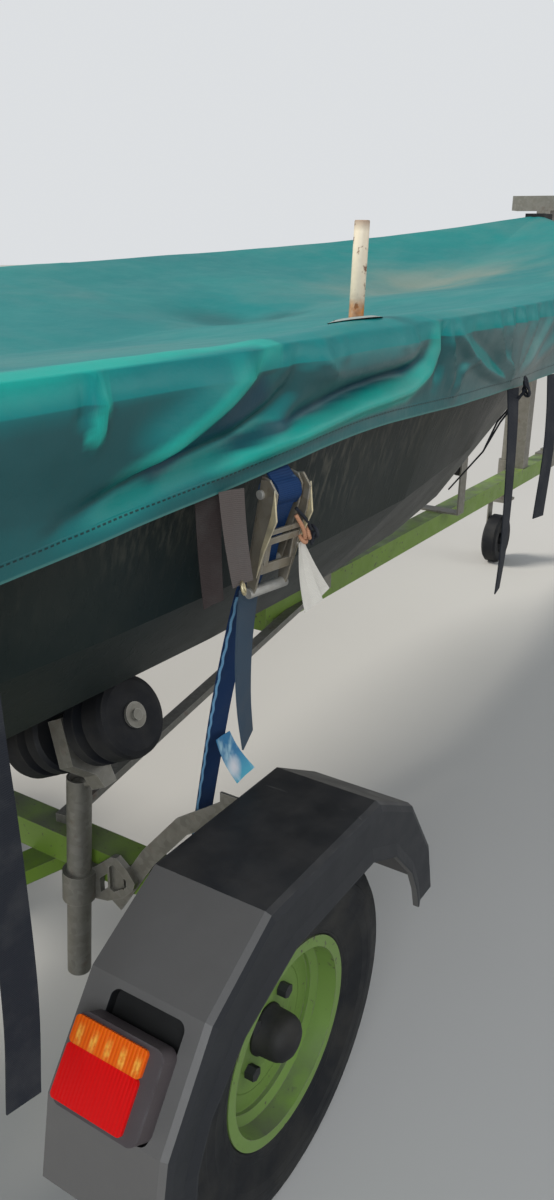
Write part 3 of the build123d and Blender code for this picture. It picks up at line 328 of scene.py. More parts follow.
def moulded(name="black_plastic", base=(0.021, 0.021, 0.022), scratches_and_painted_light=True):
    p = Paint(name, base, 0.46)
    p.tint(tuple(v * 1.9 for v in base), p.cloud(6, 0.35, 0.75, 9), 0.6)
    # paler along the edges: wear, and a painted highlight along the rounded edges
    wear_and_edge_highlight = p.product(p.edges(0.006, 0.01, 0.2), p.cloud(35, 0.45, 0.62, 8))
    p.tint((0.16, 0.16, 0.17), wear_and_edge_highlight, 0.35)
    if scratches_and_painted_light:
        for turn, scale in ((0.5, (60, 3, 60)), (2.2, (45, 2, 45)), (1.2, (80, 4, 80))):
            lines = p.cloud(2.0, 0.7, 0.73, 3, coords=p.placed(scale, (0, 0, turn)))
            p.tint((0.2, 0.19, 0.17), lines, p.upward(0.2, 0.7), p.cloud(7, 0.5, 0.6), 0.5)
        # painted skylight: faces that look aft are lighter
        p.tint((0.13, 0.124, 0.118), p.ramp(p.facing(0), -0.3, -0.5), 0.9)
        # painted shade: faces that look to either side are darker and bluer
        p.tint((0.003, 0.005, 0.009), p.ramp(p.math("ABSOLUTE", p.facing(1)), 0.6, 0.9), 0.9)
        # the recess behind the lamp lies in deep shade
        ahead, above = p.ahead_and_above(*RECESS_PLACE)
        depth = p.weighed(ahead, RECESS_RUN[0], above, RECESS_RUN[1])
        down = p.weighed(ahead, RECESS_RUN[1], above, -RECESS_RUN[0])
        within = p.product(p.between(down, 0.007, 0.009, 0.1365, 0.1385),
                           p.between(p.math("ABSOLUTE", p.along(1)), 0.611, 0.613, 0.712, 0.714),
                           p.between(depth, 0.001, 0.005, 0.0155, 0.0165))
        p.tint((0.002, 0.002, 0.002), within, 0.94)
        corner = p.product(p.spot((0.352, -0.735, 0.42), 0.1), p.edges(0.012, 0.0, 0.1))
        p.tint((0.5, 0.49, 0.46), corner, p.cloud(55, 0.52, 0.62, 8), 0.9)
    p.tint((0.12, 0.11, 0.1), p.upward(0.5, 0.9), p.cloud(18, 0.4, 0.7, 9), 0.22)
    p.patch(20, 0.62, 8)
    p.grain(0.00012, 900)
    p.raise_by(0.0012, p.cloud(16, 0.2, 0.8))
    return p.done(0.6)


def rubber(name="roller_rubber", base=(0.004, 0.005, 0.008), dust=0.2, tread=False):
    p = Paint(name, base, 0.55, Specular_IOR_Level=0.3)
    p.tint((0.1, 0.09, 0.07), p.cloud(14, 0.42, 0.75, 9), dust)
    p.tint((0.09, 0.085, 0.075), p.edges(0.004), p.cloud(50, 0.35, 0.65), 0.5)
    p.patch(30, 0.75)
    p.grain(0.00012, 400)
    if tread:
        away = p.wheel_radius()
        on_tread = p.ramp(away, 0.2385, 0.2415)
        grooves = p.waves(15.7, "Y")
        p.raise_by(-0.004, p.ramp(grooves, 0.22, 0.1), on_tread)
        x, z = p.ahead_and_above()
        around = p.math("MULTIPLY", p.math("ARCTAN2", z, x), 72)
        cuts = p.ramp(p.math("SINE", p.math("ADD", around, p.math("MULTIPLY", grooves, 2.0))), 0.62, 0.8)
        p.raise_by(-0.003, cuts, p.ramp(away, 0.232, 0.236))
        for radius, height in ((0.150, 0.0015), (0.158, -0.0015), (0.205, 0.001), (0.222, -0.001)):
            p.raise_by(height, p.ramp(away, radius - 0.001, radius + 0.001))
    return p.done(0.6)


def webbing(name, base, fleck, dirty=0.25):
    p = Paint(name, base, 0.75, Specular_IOR_Level=0.25)
    ribs = p.waves(150.0, "Z", bend=0.2)
    p.tint(fleck, ribs, 0.3)
    p.tint((0.1, 0.1, 0.095), p.cloud(30, 0.45, 0.8, 8), dirty)
    p.raise_by(0.0003, ribs)
    p.grain(0.0002, 800)
    return p.done(0.7)


def lens(name, base, glow, lights=0.0):
    p = Paint(name, base, 0.16, IOR=1.45, Coat_Weight=0.12, Specular_IOR_Level=0.35)
    ribs = p.waves(70.0, "Y")
    p.tint(glow, ribs, 0.3)
    if lights:
        row = p.between(p.along(2), 0.465, 0.473, 0.479, 0.487)
        p.tint((1.0, 0.62, 0.1), row, p.ramp(p.waves(16.2, "Y"), 0.45, 0.8), p.cloud(160, 0.25, 0.6), lights)
    p.smooth(p.cloud(60, 0.4, 0.8, 8), 0.3)
    p.raise_by(0.0006, ribs)
    return p.done(0.6)


def chipped_white():
    p = Paint("post_paint", (0.68, 0.58, 0.44), 0.5)
    height = p.along(2)
    p.tint((0.42, 0.36, 0.25), p.cloud(25, 0.4, 0.8, 8), 0.5)
    chips = p.cloud(85, 0.6, 0.65, 8)
    base = p.ramp(height, 1.205, 1.165)
    rust = p.math("MAXIMUM", p.product(chips, 0.9), p.product(base, p.cloud(50, 0.4, 0.6, 8)))
    rust = p.math("MAXIMUM", rust, p.product(p.ramp(height, 1.268, 1.28), 0.7))
    p.tint(p.blend(p.cloud(70, 0.3, 0.7), (0.2, 0.07, 0.025), (0.06, 0.025, 0.015)), rust)
    foot = p.product(p.ramp(height, 1.196, 1.184), p.cloud(55, 0.2, 0.55, 8))
    p.tint(p.blend(p.cloud(90, 0.35, 0.65), (0.72, 0.25, 0.02), (0.32, 0.1, 0.02)), foot, 0.85)
    p.smooth(rust, 0.85)
    p.raise_by(-0.0003, rust)
    p.grain(0.0002, 220)
    return p.done(0.8)


def plain_metal(name, base, rough, metal=0.9):
    p = Paint(name, base, rough, metal)
    p.tint(tuple(v * 0.5 for v in base), p.cloud(40, 0.4, 0.8, 8), 0.4)
    p.patch(60, rough + 0.2)
    p.grain(0.00005, 300)
    return p.done(0.6)


def label_finish():
    p = Paint("strap_label", (0.01, 0.16, 0.34), 0.3)
    p.tint((0.06, 0.36, 0.48), p.ramp(p.along(2), 0.62, 0.585))
    p.tint((0.3, 0.5, 0.6), p.cloud(38, 0.5, 0.62, 3, coords=p.placed((1.0, 1.0, 0.6))))
    p.tint((0.72, 0.68, 0.7), p.spot((0.052, -0.567, 0.607), 0.02))
    return p.done()


# Steps pressed in a rim: radius and height
RIM_STEPS = ((0.062, 0.0015), (0.088, -0.002), (0.112, 0.002))
FINISHES = {
    "hull_gelcoat": gelcoat(),
    "strake_wood": rubber("strake_paint", (0.014, 0.026, 0.02)),
    "keel_band": plain_metal("keel_band", (0.45, 0.45, 0.42), 0.4),
    "cover_fabric": tarpaulin(),
    "post_paint": chipped_white(),
    "stern_fittings": plain_metal("stern_fittings", (0.5, 0.5, 0.5), 0.3),
    "bung_plastic": moulded("bung_plastic", scratches_and_painted_light=False),
    "tyre": rubber("tyre_rubber", (0.005, 0.006, 0.008), 0.22, True),
    "rim_paint": lime("rim_paint", (0.15, 0.25, 0.05), (0.12, 0.17, 0.06), RIM_STEPS),
    "galvanised": zinc(),
    "frame_paint": lime("frame_paint", (0.16, 0.27, 0.03), (0.11, 0.14, 0.06)),
    "black_plastic": moulded(),
    "lamp_body": moulded("lamp_body", (0.05, 0.04, 0.042), False),
    "amber_lens": lens("amber_lens", (0.8, 0.1, 0.002), (1.0, 0.24, 0.01), 0.6),
    "red_lens": lens("red_lens", (0.7, 0.0, 0.0), (0.85, 0.002, 0.002)),
    "roller_rubber": rubber(),
    "blue_webbing": webbing("blue_webbing", (0.002, 0.022, 0.085), (0.012, 0.06, 0.16), 0.12),
    "dark_webbing": webbing("dark_webbing", (0.01, 0.012, 0.018), (0.03, 0.035, 0.045)),
}
# Finishes of pieces that differ from the rest of their slot
DARK_STEEL = plain_metal("dark_steel", (0.03, 0.03, 0.032), 0.5, 0.3)
DULL_STEEL = zinc("dull_zinc", (0.2, 0.195, 0.175), 0.5)
TAN_STEEL = zinc("ratchet_zinc", (0.24, 0.205, 0.15), 0.2)
PALE_STEEL = zinc("bright_zinc", (0.5, 0.49, 0.46), 0.1)
# the ratchet's flanges: the plates' yellowish zinc, painted paler and creamier as if in sunlight
SUNLIT_ZINC = zinc("sunlit_cream_zinc", (0.72, 0.62, 0.38), 0.1)
BRASS = plain_metal("brass", (0.55, 0.48, 0.3), 0.35)
CAP_RUBBER = rubber("cap_rubber", (0.012, 0.012, 0.013), 0.25)
GREY_TAPE = webbing("grey_webbing", (0.03, 0.055, 0.085), (0.09, 0.12, 0.16))
RING_TAPE = webbing("ring_tape", (0.25, 0.29, 0.28), (0.34, 0.38, 0.36), 0.3)
ROLL_TAPE = webbing("rolled_webbing", (0.02, 0.06, 0.14), (0.06, 0.13, 0.24), 0.35)
EDGE_TAPE = webbing("edge_webbing", (0.12, 0.3, 0.5), (0.3, 0.5, 0.65), 0.2)
WHITE_TAPE = webbing("white_tape", (0.62, 0.59, 0.53), (0.7, 0.68, 0.62), 0.15)
TAB_CLOTH = webbing("tab_cloth", (0.085, 0.07, 0.065), (0.13, 0.11, 0.1), 0.3)
TAB_LINING = webbing("tab_lining", (0.03, 0.022, 0.021), (0.05, 0.04, 0.04), 0.3)
TAN_CORD = webbing("tan_cord", (0.42, 0.2, 0.11), (0.5, 0.3, 0.2), 0.2)
LABEL = label_finish()
OTHER_FINISH = {"hub_port": DARK_STEEL, "hub_starboard": DARK_STEEL, "front_rails": DULL_STEEL}
SLOT_OF = {entry["node"]: entry["material_slot"] for entry in frame["record"]["subparts"]}
for label, piece in frame["nodes"].items():
    piece.data.materials.clear()
    piece.data.materials.append(OTHER_FINISH.get(label, FINISHES[SLOT_OF[label]]))


# ---- helpers


def place(x, y, z):
    """A point given in mm from the axle, the centreline and the floor."""
    return Vector((AXLE_X + x / 1000, y / 1000, z / 1000))


def places(points):
    return [place(*point) for point in points]


def piece_from(name, vertices, faces, slot, body="boat_and_trailer", shade=True):
    """A new mesh piece that rides on a body and has a slot's finish."""
    mesh = bpy.data.meshes.new(name)
    mesh.from_pydata([tuple(v) for v in vertices], [], faces)
    mesh.update()
    made = new_object(name, mesh)
    mesh.materials.append(FINISHES[slot])
    if shade:
        for face in mesh.polygons:
            face.use_smooth = True
    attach(made, body)
    return made


# ---- cover


# Gunwale under the cover: forward of the axle, half width, height; then how deep the skirt hangs
GUNWALE = (
    (-1.470, 0.538, 1.157, 0.150),
    (-0.800, 0.603, 1.152, 0.158),
    (-0.380, 0.640, 1.153, 0.151),
    (-0.200, 0.655, 1.155, 0.136),
    (0.100, 0.677, 1.160, 0.120),
    (0.400, 0.694, 1.167, 0.121),
    (0.700, 0.707, 1.176, 0.121),
    (1.000, 0.713, 1.187, 0.122),
    (1.600, 0.650, 1.217, 0.122),
    (2.200, 0.408, 1.267, 0.120),
    (2.500, 0.203, 1.310, 0.116),
    (2.740, 0.014, 1.354, 0.108),
)
GUNWALE_X = np.array([row[0] for row in GUNWALE])
# How far the cloth stands out and up from the gunwale, how it falls inboard of it per metre (and the hull's
# deck below it), and the radius that it turns over the gunwale with
COVER_OUT = 0.024
COVER_UP = 0.008
DECK_FALL = 0.11
HULL_DECK_FALL = 0.17
ROLL = 0.030
# The cloth's ends, forward of the axle, and where its rows lie close together: from, to and step
COVER_ENDS = (-1.478, 2.748)
CLOSE_ROWS = (-0.62, 0.9, 0.0065)
# Hollows that sag between what is below: forward of the axle, sideways, how wide and how deep
HOLLOWS = ((0.95, 0.12, 0.2, 0.03), (-0.55, -0.1, 0.3, 0.025), (1.75, 0.0, 0.25, 0.012))
# The noise in it: stretch, scale, seed and height
WAVES = ((1, 1, 1.5), 5.0, 1, 0.0045)
RIPPLES = ((1, 1, 1), 17.0, 2, 0.0014)
BILLOWS = ((1, 0.4, 0), 2.1, 3, 0.016)
# How far it sags away from the gunwale and within which width, and how near it lies to the hull's deck
SAG, SAG_WIDTH = 0.012, 0.25
DECK_GAP, DECK_BLEND = 0.004, 0.006
# How far a skirt leans in, and at which depth
TUCK, TUCK_DEPTH = 0.006, 0.11
# The end flaps' rows, and how far they ripple
FLAP_ROWS, FLAP_RIPPLE = 12, 0.003
# The post, in mm as place() takes it, and how it pushes the cloth up: forward of the axle, sideways, reach
# along and across, height
POST_X, POST_Y = 165, -650
POST_PUSH = (0.16, -0.66, 0.2, 0.07, 0.008)
# The hole round the post: which cloth is drawn back, the radius to which its middle is drawn, how much more
# its outside, which part of it is cut out, and how high its edge stands up
HOLE_REACH, HOLE_EDGE, HOLE_SPREAD, HOLE_MIDDLE, HOLE_LIP = 0.032, 0.019, 0.013, 0.0075, 0.003

# Folds in the cloth: height, how wide on the left and on the right of the run's direction, all in mm,
# and the run's points: forward of the axle, above the crease (below it is minus)
FOLDS = (
    (15, 24, 9, ((-279, -96), (-250, -84), (-219, -74), (-188, -61), (-154, -46), (-127, -31), (-103, -17),
                 (-84, -5), (-60, 12))),
    (7, 40, 60, ((-520, -60), (-420, -42), (-330, -40), (-250, -30), (-160, -12), (-90, 0))),
    (-17, 10, 16, ((-330, -118), (-273, -107), (-225, -97), (-173, -90), (-115, -84), (-68, -70), (-40, -50),
                   (-30, -25))),
    (13, 12, 9, ((-150, -110), (-107, -103), (-67, -101), (-16, -97), (40, -93), (100, -88), (155, -86),
                 (202, -82), (241, -65), (261, -40), (261, -19), (258, 4))),
    (-15, 13, 9, ((-64, -99), (-17, -87), (38, -79), (97, -71), (151, -66), (200, -62), (222, -48))),
    (12, 34, 14, ((-40, -30), (40, -44), (110, -46), (170, -44), (215, -36), (232, -18))),
    (-9, 9, 7, ((276, -4), (284, -30), (286, -60), (276, -86))),
    (10, 9, 6, ((292, -6), (318, -26), (348, -46), (382, -64), (416, -79), (470, -96), (528, -110))),
    (8, 6, 6, ((298, -20), (305, -48), (319, -72), (322, -100))),
    (7, 7, 7, ((337, -108), (350, -76), (384, -60))),
    (-6, 9, 7, ((360, -22), (395, -40), (440, -58), (490, -84))),
    (9, 7, 5, ((440, -4), (452, -34), (478, -66), (524, -104))),
    (9, 6, 6, ((501, -8), (493, -40), (502, -76), (530, -110))),
    (-7, 6, 6, ((520, -6), (514, -40), (516, -76), (532, -108))),
    (8, 6, 6, ((548, -8), (538, -44), (536, -106))),
    (8, 7, 6, ((600, -6), (576, -44), (542, -106))),
    (-6, 7, 7, ((628, -8), (590, -56), (548, -106))),
    (8, 9, 8, ((680, -10), (622, -60), (552, -104))),
    (6, 12, 12, ((800, -14), (700, -66), (566, -104))),
    (7, 6, 4, ((-301, -4), (-294, -17), (-303, -31), (-305, -48), (-310, -66))),
    (-5, 7, 5, ((-318, -6), (-315, -24), (-322, -44))),
    (-5, 6, 8, ((-46, 8), (-52, -6), (-60, -20))),
    (5, 7, 7, ((-4, -8), (14, -30), (30, -51))),
    (5, 6, 6, ((51, -2), (50, -17), (44, -30))),
    (5, 6, 6, ((150, -2), (164, -16), (174, -30))),
    (4, 5, 5, ((196, -4), (204, -18), (200, -34))),
)


# Sunlit crests of the main folds, as above: half width at the run's start and end, then the run's points
CRESTS = (
    (12, 18, ((-290, -103), (-250, -86), (-188, -62), (-127, -32), (-84, -6), (-64, 8), (-72, 19),
              (-110, 24), (-200, 22),
             (-330, 14), (-480, 6))),
    (6, 20, ((-170, -112), (-107, -105), (-16, -99), (100, -90), (202, -83), (243, -64), (262, -40),
             (262, -15), (255, 8))),
    (5, 9, ((-298, -4), (-292, -20), (-302, -36), (-312, -62))),
    (4, 4, ((12, -2), (16, -14), (14, -26))),
)

# Deep blue shade beside them, in the same way
TROUGHS = (
    (6, 9, ((-150, -97), (-60, -86), (40, -77), (130, -68), (200, -60), (238, -42))),
    (10, 14, ((-240, -104), (-180, -82), (-120, -58), (-70, -38))),
)

# Where the runs are laid, the photo's own place first: 1, or -1 when turned round, how far they are shifted
# in mm, and how strong the folds and their crests are
STARBOARD_LAYS = ((1, 0, 1.0, 1.0), (1, -1350, 0.5, 0.0), (-1, -1100, 0.45, 0.7))
PORT_LAYS = ((-1, 330, 0.7, 0.7), (1, -1150, 0.5, 0.7))


def ease(t):
    t = np.clip(t, 0, 1)
    return t * t * (3 - 2 * t)


def run_parts(x, q, run):
    """For each straight part of a run, where points lie from it: how far, on which side, at what share."""
    run = np.array(run, float)
    lengths = np.hypot(*(run[1:] - run[:-1]).T)
    starts = np.concatenate(([0], np.cumsum(lengths)))
    for a, b, length, start in zip(run[:-1], run[1:], lengths, starts):
        ux, uq = (b - a) / length
        px, pq = x - a[0], q - a[1]
        t = np.clip(px * ux + pq * uq, 0, length)
        yield np.hypot(px - t * ux, pq - t * uq), ux * pq - uq * px, (start + t) / starts[-1]


def run_shares(x, q, runs):
    """1 along the runs, at points given as in fold_heights."""
    most = np.zeros_like(x)
    for start_half, end_half, run in runs:
        for gap, _, share in run_parts(x, q, run):
            half = start_half + (end_half - start_half) * share
            fade = np.clip(np.minimum(share, 1 - share) / 0.1, 0, 1)
            most = np.maximum(most, fade * (1 - ease((gap / half - 0.62) / 0.6)))
    return most


def fold_heights(x, q):
    """The folds' displacement at points: forward of the axle and above the crease, in mm."""
    total = np.zeros_like(x)
    for height, left, right, run in FOLDS:
        best, side, share = np.full(x.shape, 1e9), np.zeros_like(x), np.zeros_like(x)
        for gap, turn, where in run_parts(x, q, run):
            closer = gap < best
            best = np.where(closer, gap, best)
            side = np.where(closer, turn, side)
            share = np.where(closer, where, share)
        ends = ease(np.minimum(share, 1 - share) / 0.22)
        wide = np.where(side > 0, left, right)
        total += height * np.exp(-((best / wide) ** 2)) * (0.25 + 0.75 * ends)
    return total


def lay_over(x, q, lays):
    """On one side of the boat, the folds' heights, and the shares of the crests and of the troughs."""
    laid = [(turn * x + shift, fold, mark) for turn, shift, fold, mark in lays]
    heights = sum(fold * fold_heights(px, q) for px, fold, _ in laid)
    return heights, [np.max([mark * run_shares(px, q, runs) for px, _, mark in laid], axis=0)
                     for runs in (CRESTS, TROUGHS)]


def along_gunwale(x):
    """Half width, height and skirt depth at a distance from the axle, on one smooth curve."""
    values = []
    steps = np.diff(GUNWALE_X)
    at = np.clip(np.searchsorted(GUNWALE_X, x) - 1, 0, len(steps) - 1)
    h = steps[at]
    t = np.clip((x - GUNWALE_X[at]) / h, 0, 1)
    for column in (1, 2, 3):
        y = np.array([row[column] for row in GUNWALE])
        chord = np.diff(y) / steps
        inner = (chord[1:] * steps[:-1] + chord[:-1] * steps[1:]) / (steps[1:] + steps[:-1])
        slope = np.concatenate(([chord[0]], inner, [chord[-1]]))
        values.append(
            (1 + 2 * t) * (1 - t) ** 2 * y[at] + t * (1 - t) ** 2 * h * slope[at]
            + t * t * (3 - 2 * t) * y[at + 1] + t * t * (t - 1) * h * slope[at + 1]
        )
    return values


def cloth_noise(grid, stretch, scale, seed, height):
    """Smooth noise at the points of a grid."""
    shift = Vector((seed * 7.3, seed * 3.1, seed * 5.7))
    values = [noise.noise(Vector(p) * scale + shift) for p in grid.reshape(-1, 3) * stretch]
    return height * np.array(values).reshape(grid.shape[:2])


def cover_columns():
    """Each column's side and value: from 0 to 2 over the deck, and -1 at a hem to 0 at the crease."""
    deck = np.concatenate((np.linspace(0, 0.2, 20), np.linspace(0.2, 2, 96)[1:]))
    columns = [("starboard", v) for v in np.linspace(-1, 0, 26)[:-1]] + [("deck", v) for v in deck]
    return columns + [("port", v) for v in np.linspace(-1, 0, 12)[:-1][::-1]]


def lay_cover(x_rows, columns):
    """The cloth before it is folded: its points, and how far each is inboard of the crease, or below it."""
    half, height, skirt = along_gunwale(x_rows)
    half = half + COVER_OUT
    height = height + COVER_UP
    grid = np.zeros((len(x_rows), len(columns), 3))
    crease = np.zeros(grid.shape[:2])
    low = ROLL * 0.8
    for c, (kind, v) in enumerate(columns):
        if kind == "deck":
            y = (v - 1) * half
            inboard = half - np.abs(y)
            rounded = ROLL - np.sqrt(ROLL**2 - np.maximum(ROLL - inboard, 0) ** 2)
            grid[:, c] = np.stack((x_rows, y, height - DECK_FALL * inboard - rounded * 0.8), 1)
            crease[:, c] = inboard
        else:
            tuck = TUCK * ease(-v * skirt / TUCK_DEPTH)
            down = low + (skirt - low) * -v
            y = (1 if kind == "port" else -1) * (half - tuck)
            grid[:, c] = np.stack((x_rows, y, height - down), 1)
            crease[:, c] = -down
    return grid, crease, skirt


def fold_cover(grid, crease, on_port):
    """Folds the cloth, and gives the shares of the crests and of the troughs at each point."""
    x_mm, q_mm = grid[:, :, 0] * 1000, crease * 1000
    starboard, near_marks = lay_over(x_mm, q_mm, STARBOARD_LAYS)
    port, far_marks = lay_over(x_mm, q_mm, PORT_LAYS)
    waves, ripples, billows = (cloth_noise(grid, *kind) for kind in (WAVES, RIPPLES, BILLOWS))
    # outward on the skirts, upward on the deck, turning over round the crease
    push = np.where(on_port, port, starboard) / 1000 + waves + ripples
    lean = ease((crease + 0.012) / 0.045)
    grid[:, :, 1] += np.where(on_port, 1.0, -1.0) * push * (1 - lean)
    grid[:, :, 2] += push * lean * 0.6
    # the deck of cloth hangs between what is under it
    mid = np.clip(crease / SAG_WIDTH, 0, 1)
    grid[:, :, 2] += mid * (billows - SAG * ease(mid))
    for px, py, wide, deep in HOLLOWS:
        away = np.hypot((grid[:, :, 0] - px) / wide, (grid[:, :, 1] - py) / (wide * 0.7))
        grid[:, :, 2] -= np.where(crease > 0, deep * np.exp(-(away**2) * 1.6), 0)
    px, py, long, wide, high = POST_PUSH
    away = np.hypot((grid[:, :, 0] - px) / long, (grid[:, :, 1] - py) / wide)
    grid[:, :, 2] += high * np.exp(-(away**2))
    return [np.where(on_port, far, near).reshape(-1) for near, far in zip(near_marks, far_marks)]


def rest_on_deck(grid, crease):
    """Lays the cloth on the hull's deck where it would sink into it."""
    gunwale_y, gunwale_z, _ = along_gunwale(grid[:, 0, 0])
    inside = np.maximum(gunwale_y[:, None] - np.abs(grid[:, :, 1]), 0)
    deck_z = gunwale_z[:, None] - HULL_DECK_FALL * inside + DECK_GAP
    over = grid[:, :, 2] - deck_z
    lifted = deck_z + 0.5 * (over + np.sqrt(over * over + DECK_BLEND**2))
    grid[:, :, 2] = np.where(crease >= 0, lifted, grid[:, :, 2])


def add_end_flaps(grid, columns, skirt, vertices, faces, above_hem):
    """The flaps that hang from the deck's ends, joined to the skirts at their corners."""
    deck = [c for c, (kind, _) in enumerate(columns) if kind == "deck"]
    for r, sign in ((0, -1), (len(grid) - 1, 1)):
        above = [r * len(columns) + c for c in deck]
        for share in np.arange(1, FLAP_ROWS + 1) / FLAP_ROWS:
            row = []
            drop = skirt[r] * share
            for c in deck:
                top = grid[r, c]
                ripple = FLAP_RIPPLE * math.sin(c * 0.55) * share
                row.append(len(vertices))
                vertices.append((top[0] + sign * (0.002 + ripple), top[1], top[2] - drop * 0.97))
                above_hem.append(float(skirt[r] - drop))
            for k in range(len(row) - 1):
                quad = (above[k], above[k + 1], row[k + 1], row[k])
                faces.append(quad if sign < 0 else quad[::-1])
            above = row


def open_hole(mesh):
    """Draws the cloth back from the hole that the post stands in."""
    centre = place(POST_X, POST_Y, 0)
    edit = bmesh.new()
    edit.from_mesh(mesh)
    inside = []
    for vertex in edit.verts:
        across = Vector((vertex.co.x - centre.x, vertex.co.y - centre.y, 0))
        reach = across.length
        if vertex.co.z < 1.1 or reach >= HOLE_REACH:
            continue
        if reach < HOLE_MIDDLE:
            inside.append(vertex)
        across *= (HOLE_EDGE + reach * HOLE_SPREAD / HOLE_REACH) / max(reach, 1e-6)
        lip = HOLE_LIP * (1 - reach / HOLE_REACH)
        vertex.co = (centre.x + across.x, centre.y + across.y, vertex.co.z + lip)
    bmesh.ops.delete(edit, geom=inside, context="VERTS")
    edit.to_mesh(mesh)
    edit.free()


def make_cover():
    (aft, fore), (low, high, _) = COVER_ENDS, CLOSE_ROWS
    x_rows = np.concatenate((np.linspace(aft, low, 66)[:-1], np.arange(*CLOSE_ROWS),
                             np.linspace(high, fore, 130)[1:]))
    columns = cover_columns()
    count = len(columns)
    grid, crease, skirt = lay_cover(x_rows, columns)
    on_port = np.array([v > 1 if kind == "deck" else kind == "port" for kind, v in columns])
    marks = fold_cover(grid, crease, on_port)
    rest_on_deck(grid, crease)
    grid[:, :, 0] += AXLE_X
    above_hem = [float(v) for v in np.where(crease < 0, skirt[:, None] + crease, 1.0).reshape(-1)]
    vertices = [tuple(p) for p in grid.reshape(-1, 3)]
    faces = []
    for r in range(len(x_rows) - 1):
        for c in range(count - 1):
            faces.append((r * count + c, (r + 1) * count + c, (r + 1) * count + c + 1, r * count + c + 1))
    add_end_flaps(grid, columns, skirt, vertices, faces, above_hem)
    cover = piece_from("cover_cloth", vertices, faces, "cover_fabric")
    uv = cover.data.uv_layers.new(name="cloth")
    for loop in cover.data.loops:
        uv.data[loop.index].uv = (vertices[loop.vertex_index][0], above_hem[loop.vertex_index])
    for name, values in zip(("crests", "troughs"), marks):
        shares = cover.data.attributes.new(name, "FLOAT", "POINT")
        for index, value in enumerate(values):
            shares.data[index].value = float(value)
    open_hole(cover.data)
    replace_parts(cover, "cover")


make_cover()


# ---- straps, ratchets and small pieces


def smooth_line(points, steps=8):
    """Points on a smooth curve through the given ones."""
    ends = [points[0] * 2 - points[1], *points, points[-1] * 2 - points[-2]]
    full = []
    for a, b, c, d in zip(ends, ends[1:], ends[2:], ends[3:]):
        for t in (step / steps for step in range(steps)):
            bend, turn = 2 * a - 5 * b + 4 * c - d, 3 * b - a - 3 * c + d
            full.append(0.5 * (2 * b + (c - a) * t + bend * t**2 + turn * t**3))
    return full + [points[-1]]


def square_to(axis):
    """Two directions square to an axis and to each other."""
    side = axis.orthogonal().normalized()
    return side, axis.cross(side)


def circle(middle, side, other, radius, sides):
    """Points round a middle, in the plane of two directions."""
    turns = [2 * math.pi * k / sides for k in range(sides)]
    return [middle + (side * math.cos(t) + other * math.sin(t)) * radius for t in turns]


def direction(points, k):
    """Which way a line of points runs at one of them."""
    return (points[min(k + 1, len(points) - 1)] - points[max(k - 1, 0)]).normalized()


class Solids:
    """Vertices and faces of one piece, collected from simple solids."""

    def __init__(self):
        self.vertices = []
        self.faces = []

    def add(self, vertices, faces):
        first = len(self.vertices)
        self.vertices += [tuple(v) for v in vertices]
        self.faces += [tuple(first + k for k in face) for face in faces]

    def loft(self, rings):
        """Skins closed rings of points, and closes both ends."""
        count = len(rings[0])
        faces = []
        for r in range(len(rings) - 1):
            for k in range(count):
                after = (k + 1) % count
                faces.append((r * count + k, r * count + after, (r + 1) * count + after, (r + 1) * count + k))
        faces.append(tuple(reversed(range(count))))
        faces.append(tuple((len(rings) - 1) * count + k for k in range(count)))
        self.add([point for ring in rings for point in ring], faces)

    def rod(self, start, end, radius, sides=16):
        side, other = square_to((end - start).normalized())
        self.loft([circle(middle, side, other, radius, sides) for middle in (start, end)])

    def wire(self, points, radius, sides=8):
        rings = []
        side = (points[1] - points[0]).orthogonal().normalized()
        for k, point in enumerate(points):
            along = direction(points, k)
            side = (side - along * side.dot(along)).normalized()
            rings.append(circle(point, side, along.cross(side), radius, sides))
        self.loft(rings)

    def tape(self, points, first, last, wide, wall):
        """A flat strip along points. Which way it lies may change from the first direction to the last."""
        rings = []
        for k, point in enumerate(points):
            share = k / (len(points) - 1)
            along = direction(points, k)
            over = first.lerp(last, share)
            over = (over - along * over.dot(along)).normalized()
            half = over * (wide[0] + (wide[1] - wide[0]) * share) / 2
            thick = along.cross(over).normalized() * wall / 2
            rings.append([point + half + thick, point - half + thick,
                          point - half - thick, point + half - thick])
        self.loft(rings)

    def piece(self, name, slot, paint=None, body="boat_and_trailer", soft=0.0, shade=False):
        """The collected solids as one piece, with its faces turned outward and its edges eased."""
        made = piece_from(name, self.vertices, self.faces, slot, body, shade)
        edit = bmesh.new()
        edit.from_mesh(made.data)
        bmesh.ops.recalc_face_normals(edit, faces=edit.faces)
        edit.to_mesh(made.data)
        edit.free()
        if paint is not None:
            made.data.materials[0] = paint
        if soft:
            eased = made.modifiers.new("eased", "BEVEL")
            eased.width = soft
            eased.segments = 2
            eased.limit_method = "ANGLE"
        return made


X, Y, Z = Vector((1, 0, 0)), Vector((0, 1, 0)), Vector((0, 0, 1))
# Ratchets as they hang in use: their centre on the port side in mm, which way they hang and lie across,
# and their plates seen from the side, in mm: run down from the spool and out from the hull
RATCHET_PLACE = (-50, 683, 1018)
RATCHET_DOWN = (0.09, -0.22, -0.971)
RATCHET_ACROSS = (0.955, 0.24, 0.12)
FRAME_SIDE = ((-17, -5), (-17, 7), (-9, 15), (14, 15), (86, 5), (86, -5))
HANDLE_SIDE = ((-14, -2), (-19, 10), (-9, 23), (16, 24), (106, 15), (119, 12), (119, 3), (106, 1), (30, 1))
FLANGE = ((-13, 20), (18, 30), (58, 20), (92, 15), (58, 15), (14, 21))
# Where those plates lie: from and to, across
FRAME_WALL, HANDLE_WALL, FLANGE_WALL = (19.0, 21.5), (22.5, 25.0), (25.0, 27.0)
# Flat plates across the ratchet: run from and to, half width, height out, wall
CROSS_PLATES = ((33, 39, 22, 19, 2.5), (43, 51, 22, 18, 2.5), (76, 88, 22, 14, 3))
# Rails beside the handle's window: run from and to, across from and to, height out, wall
SIDE_RAILS = (51, 76, 16, 22, 16.5, 2.5)
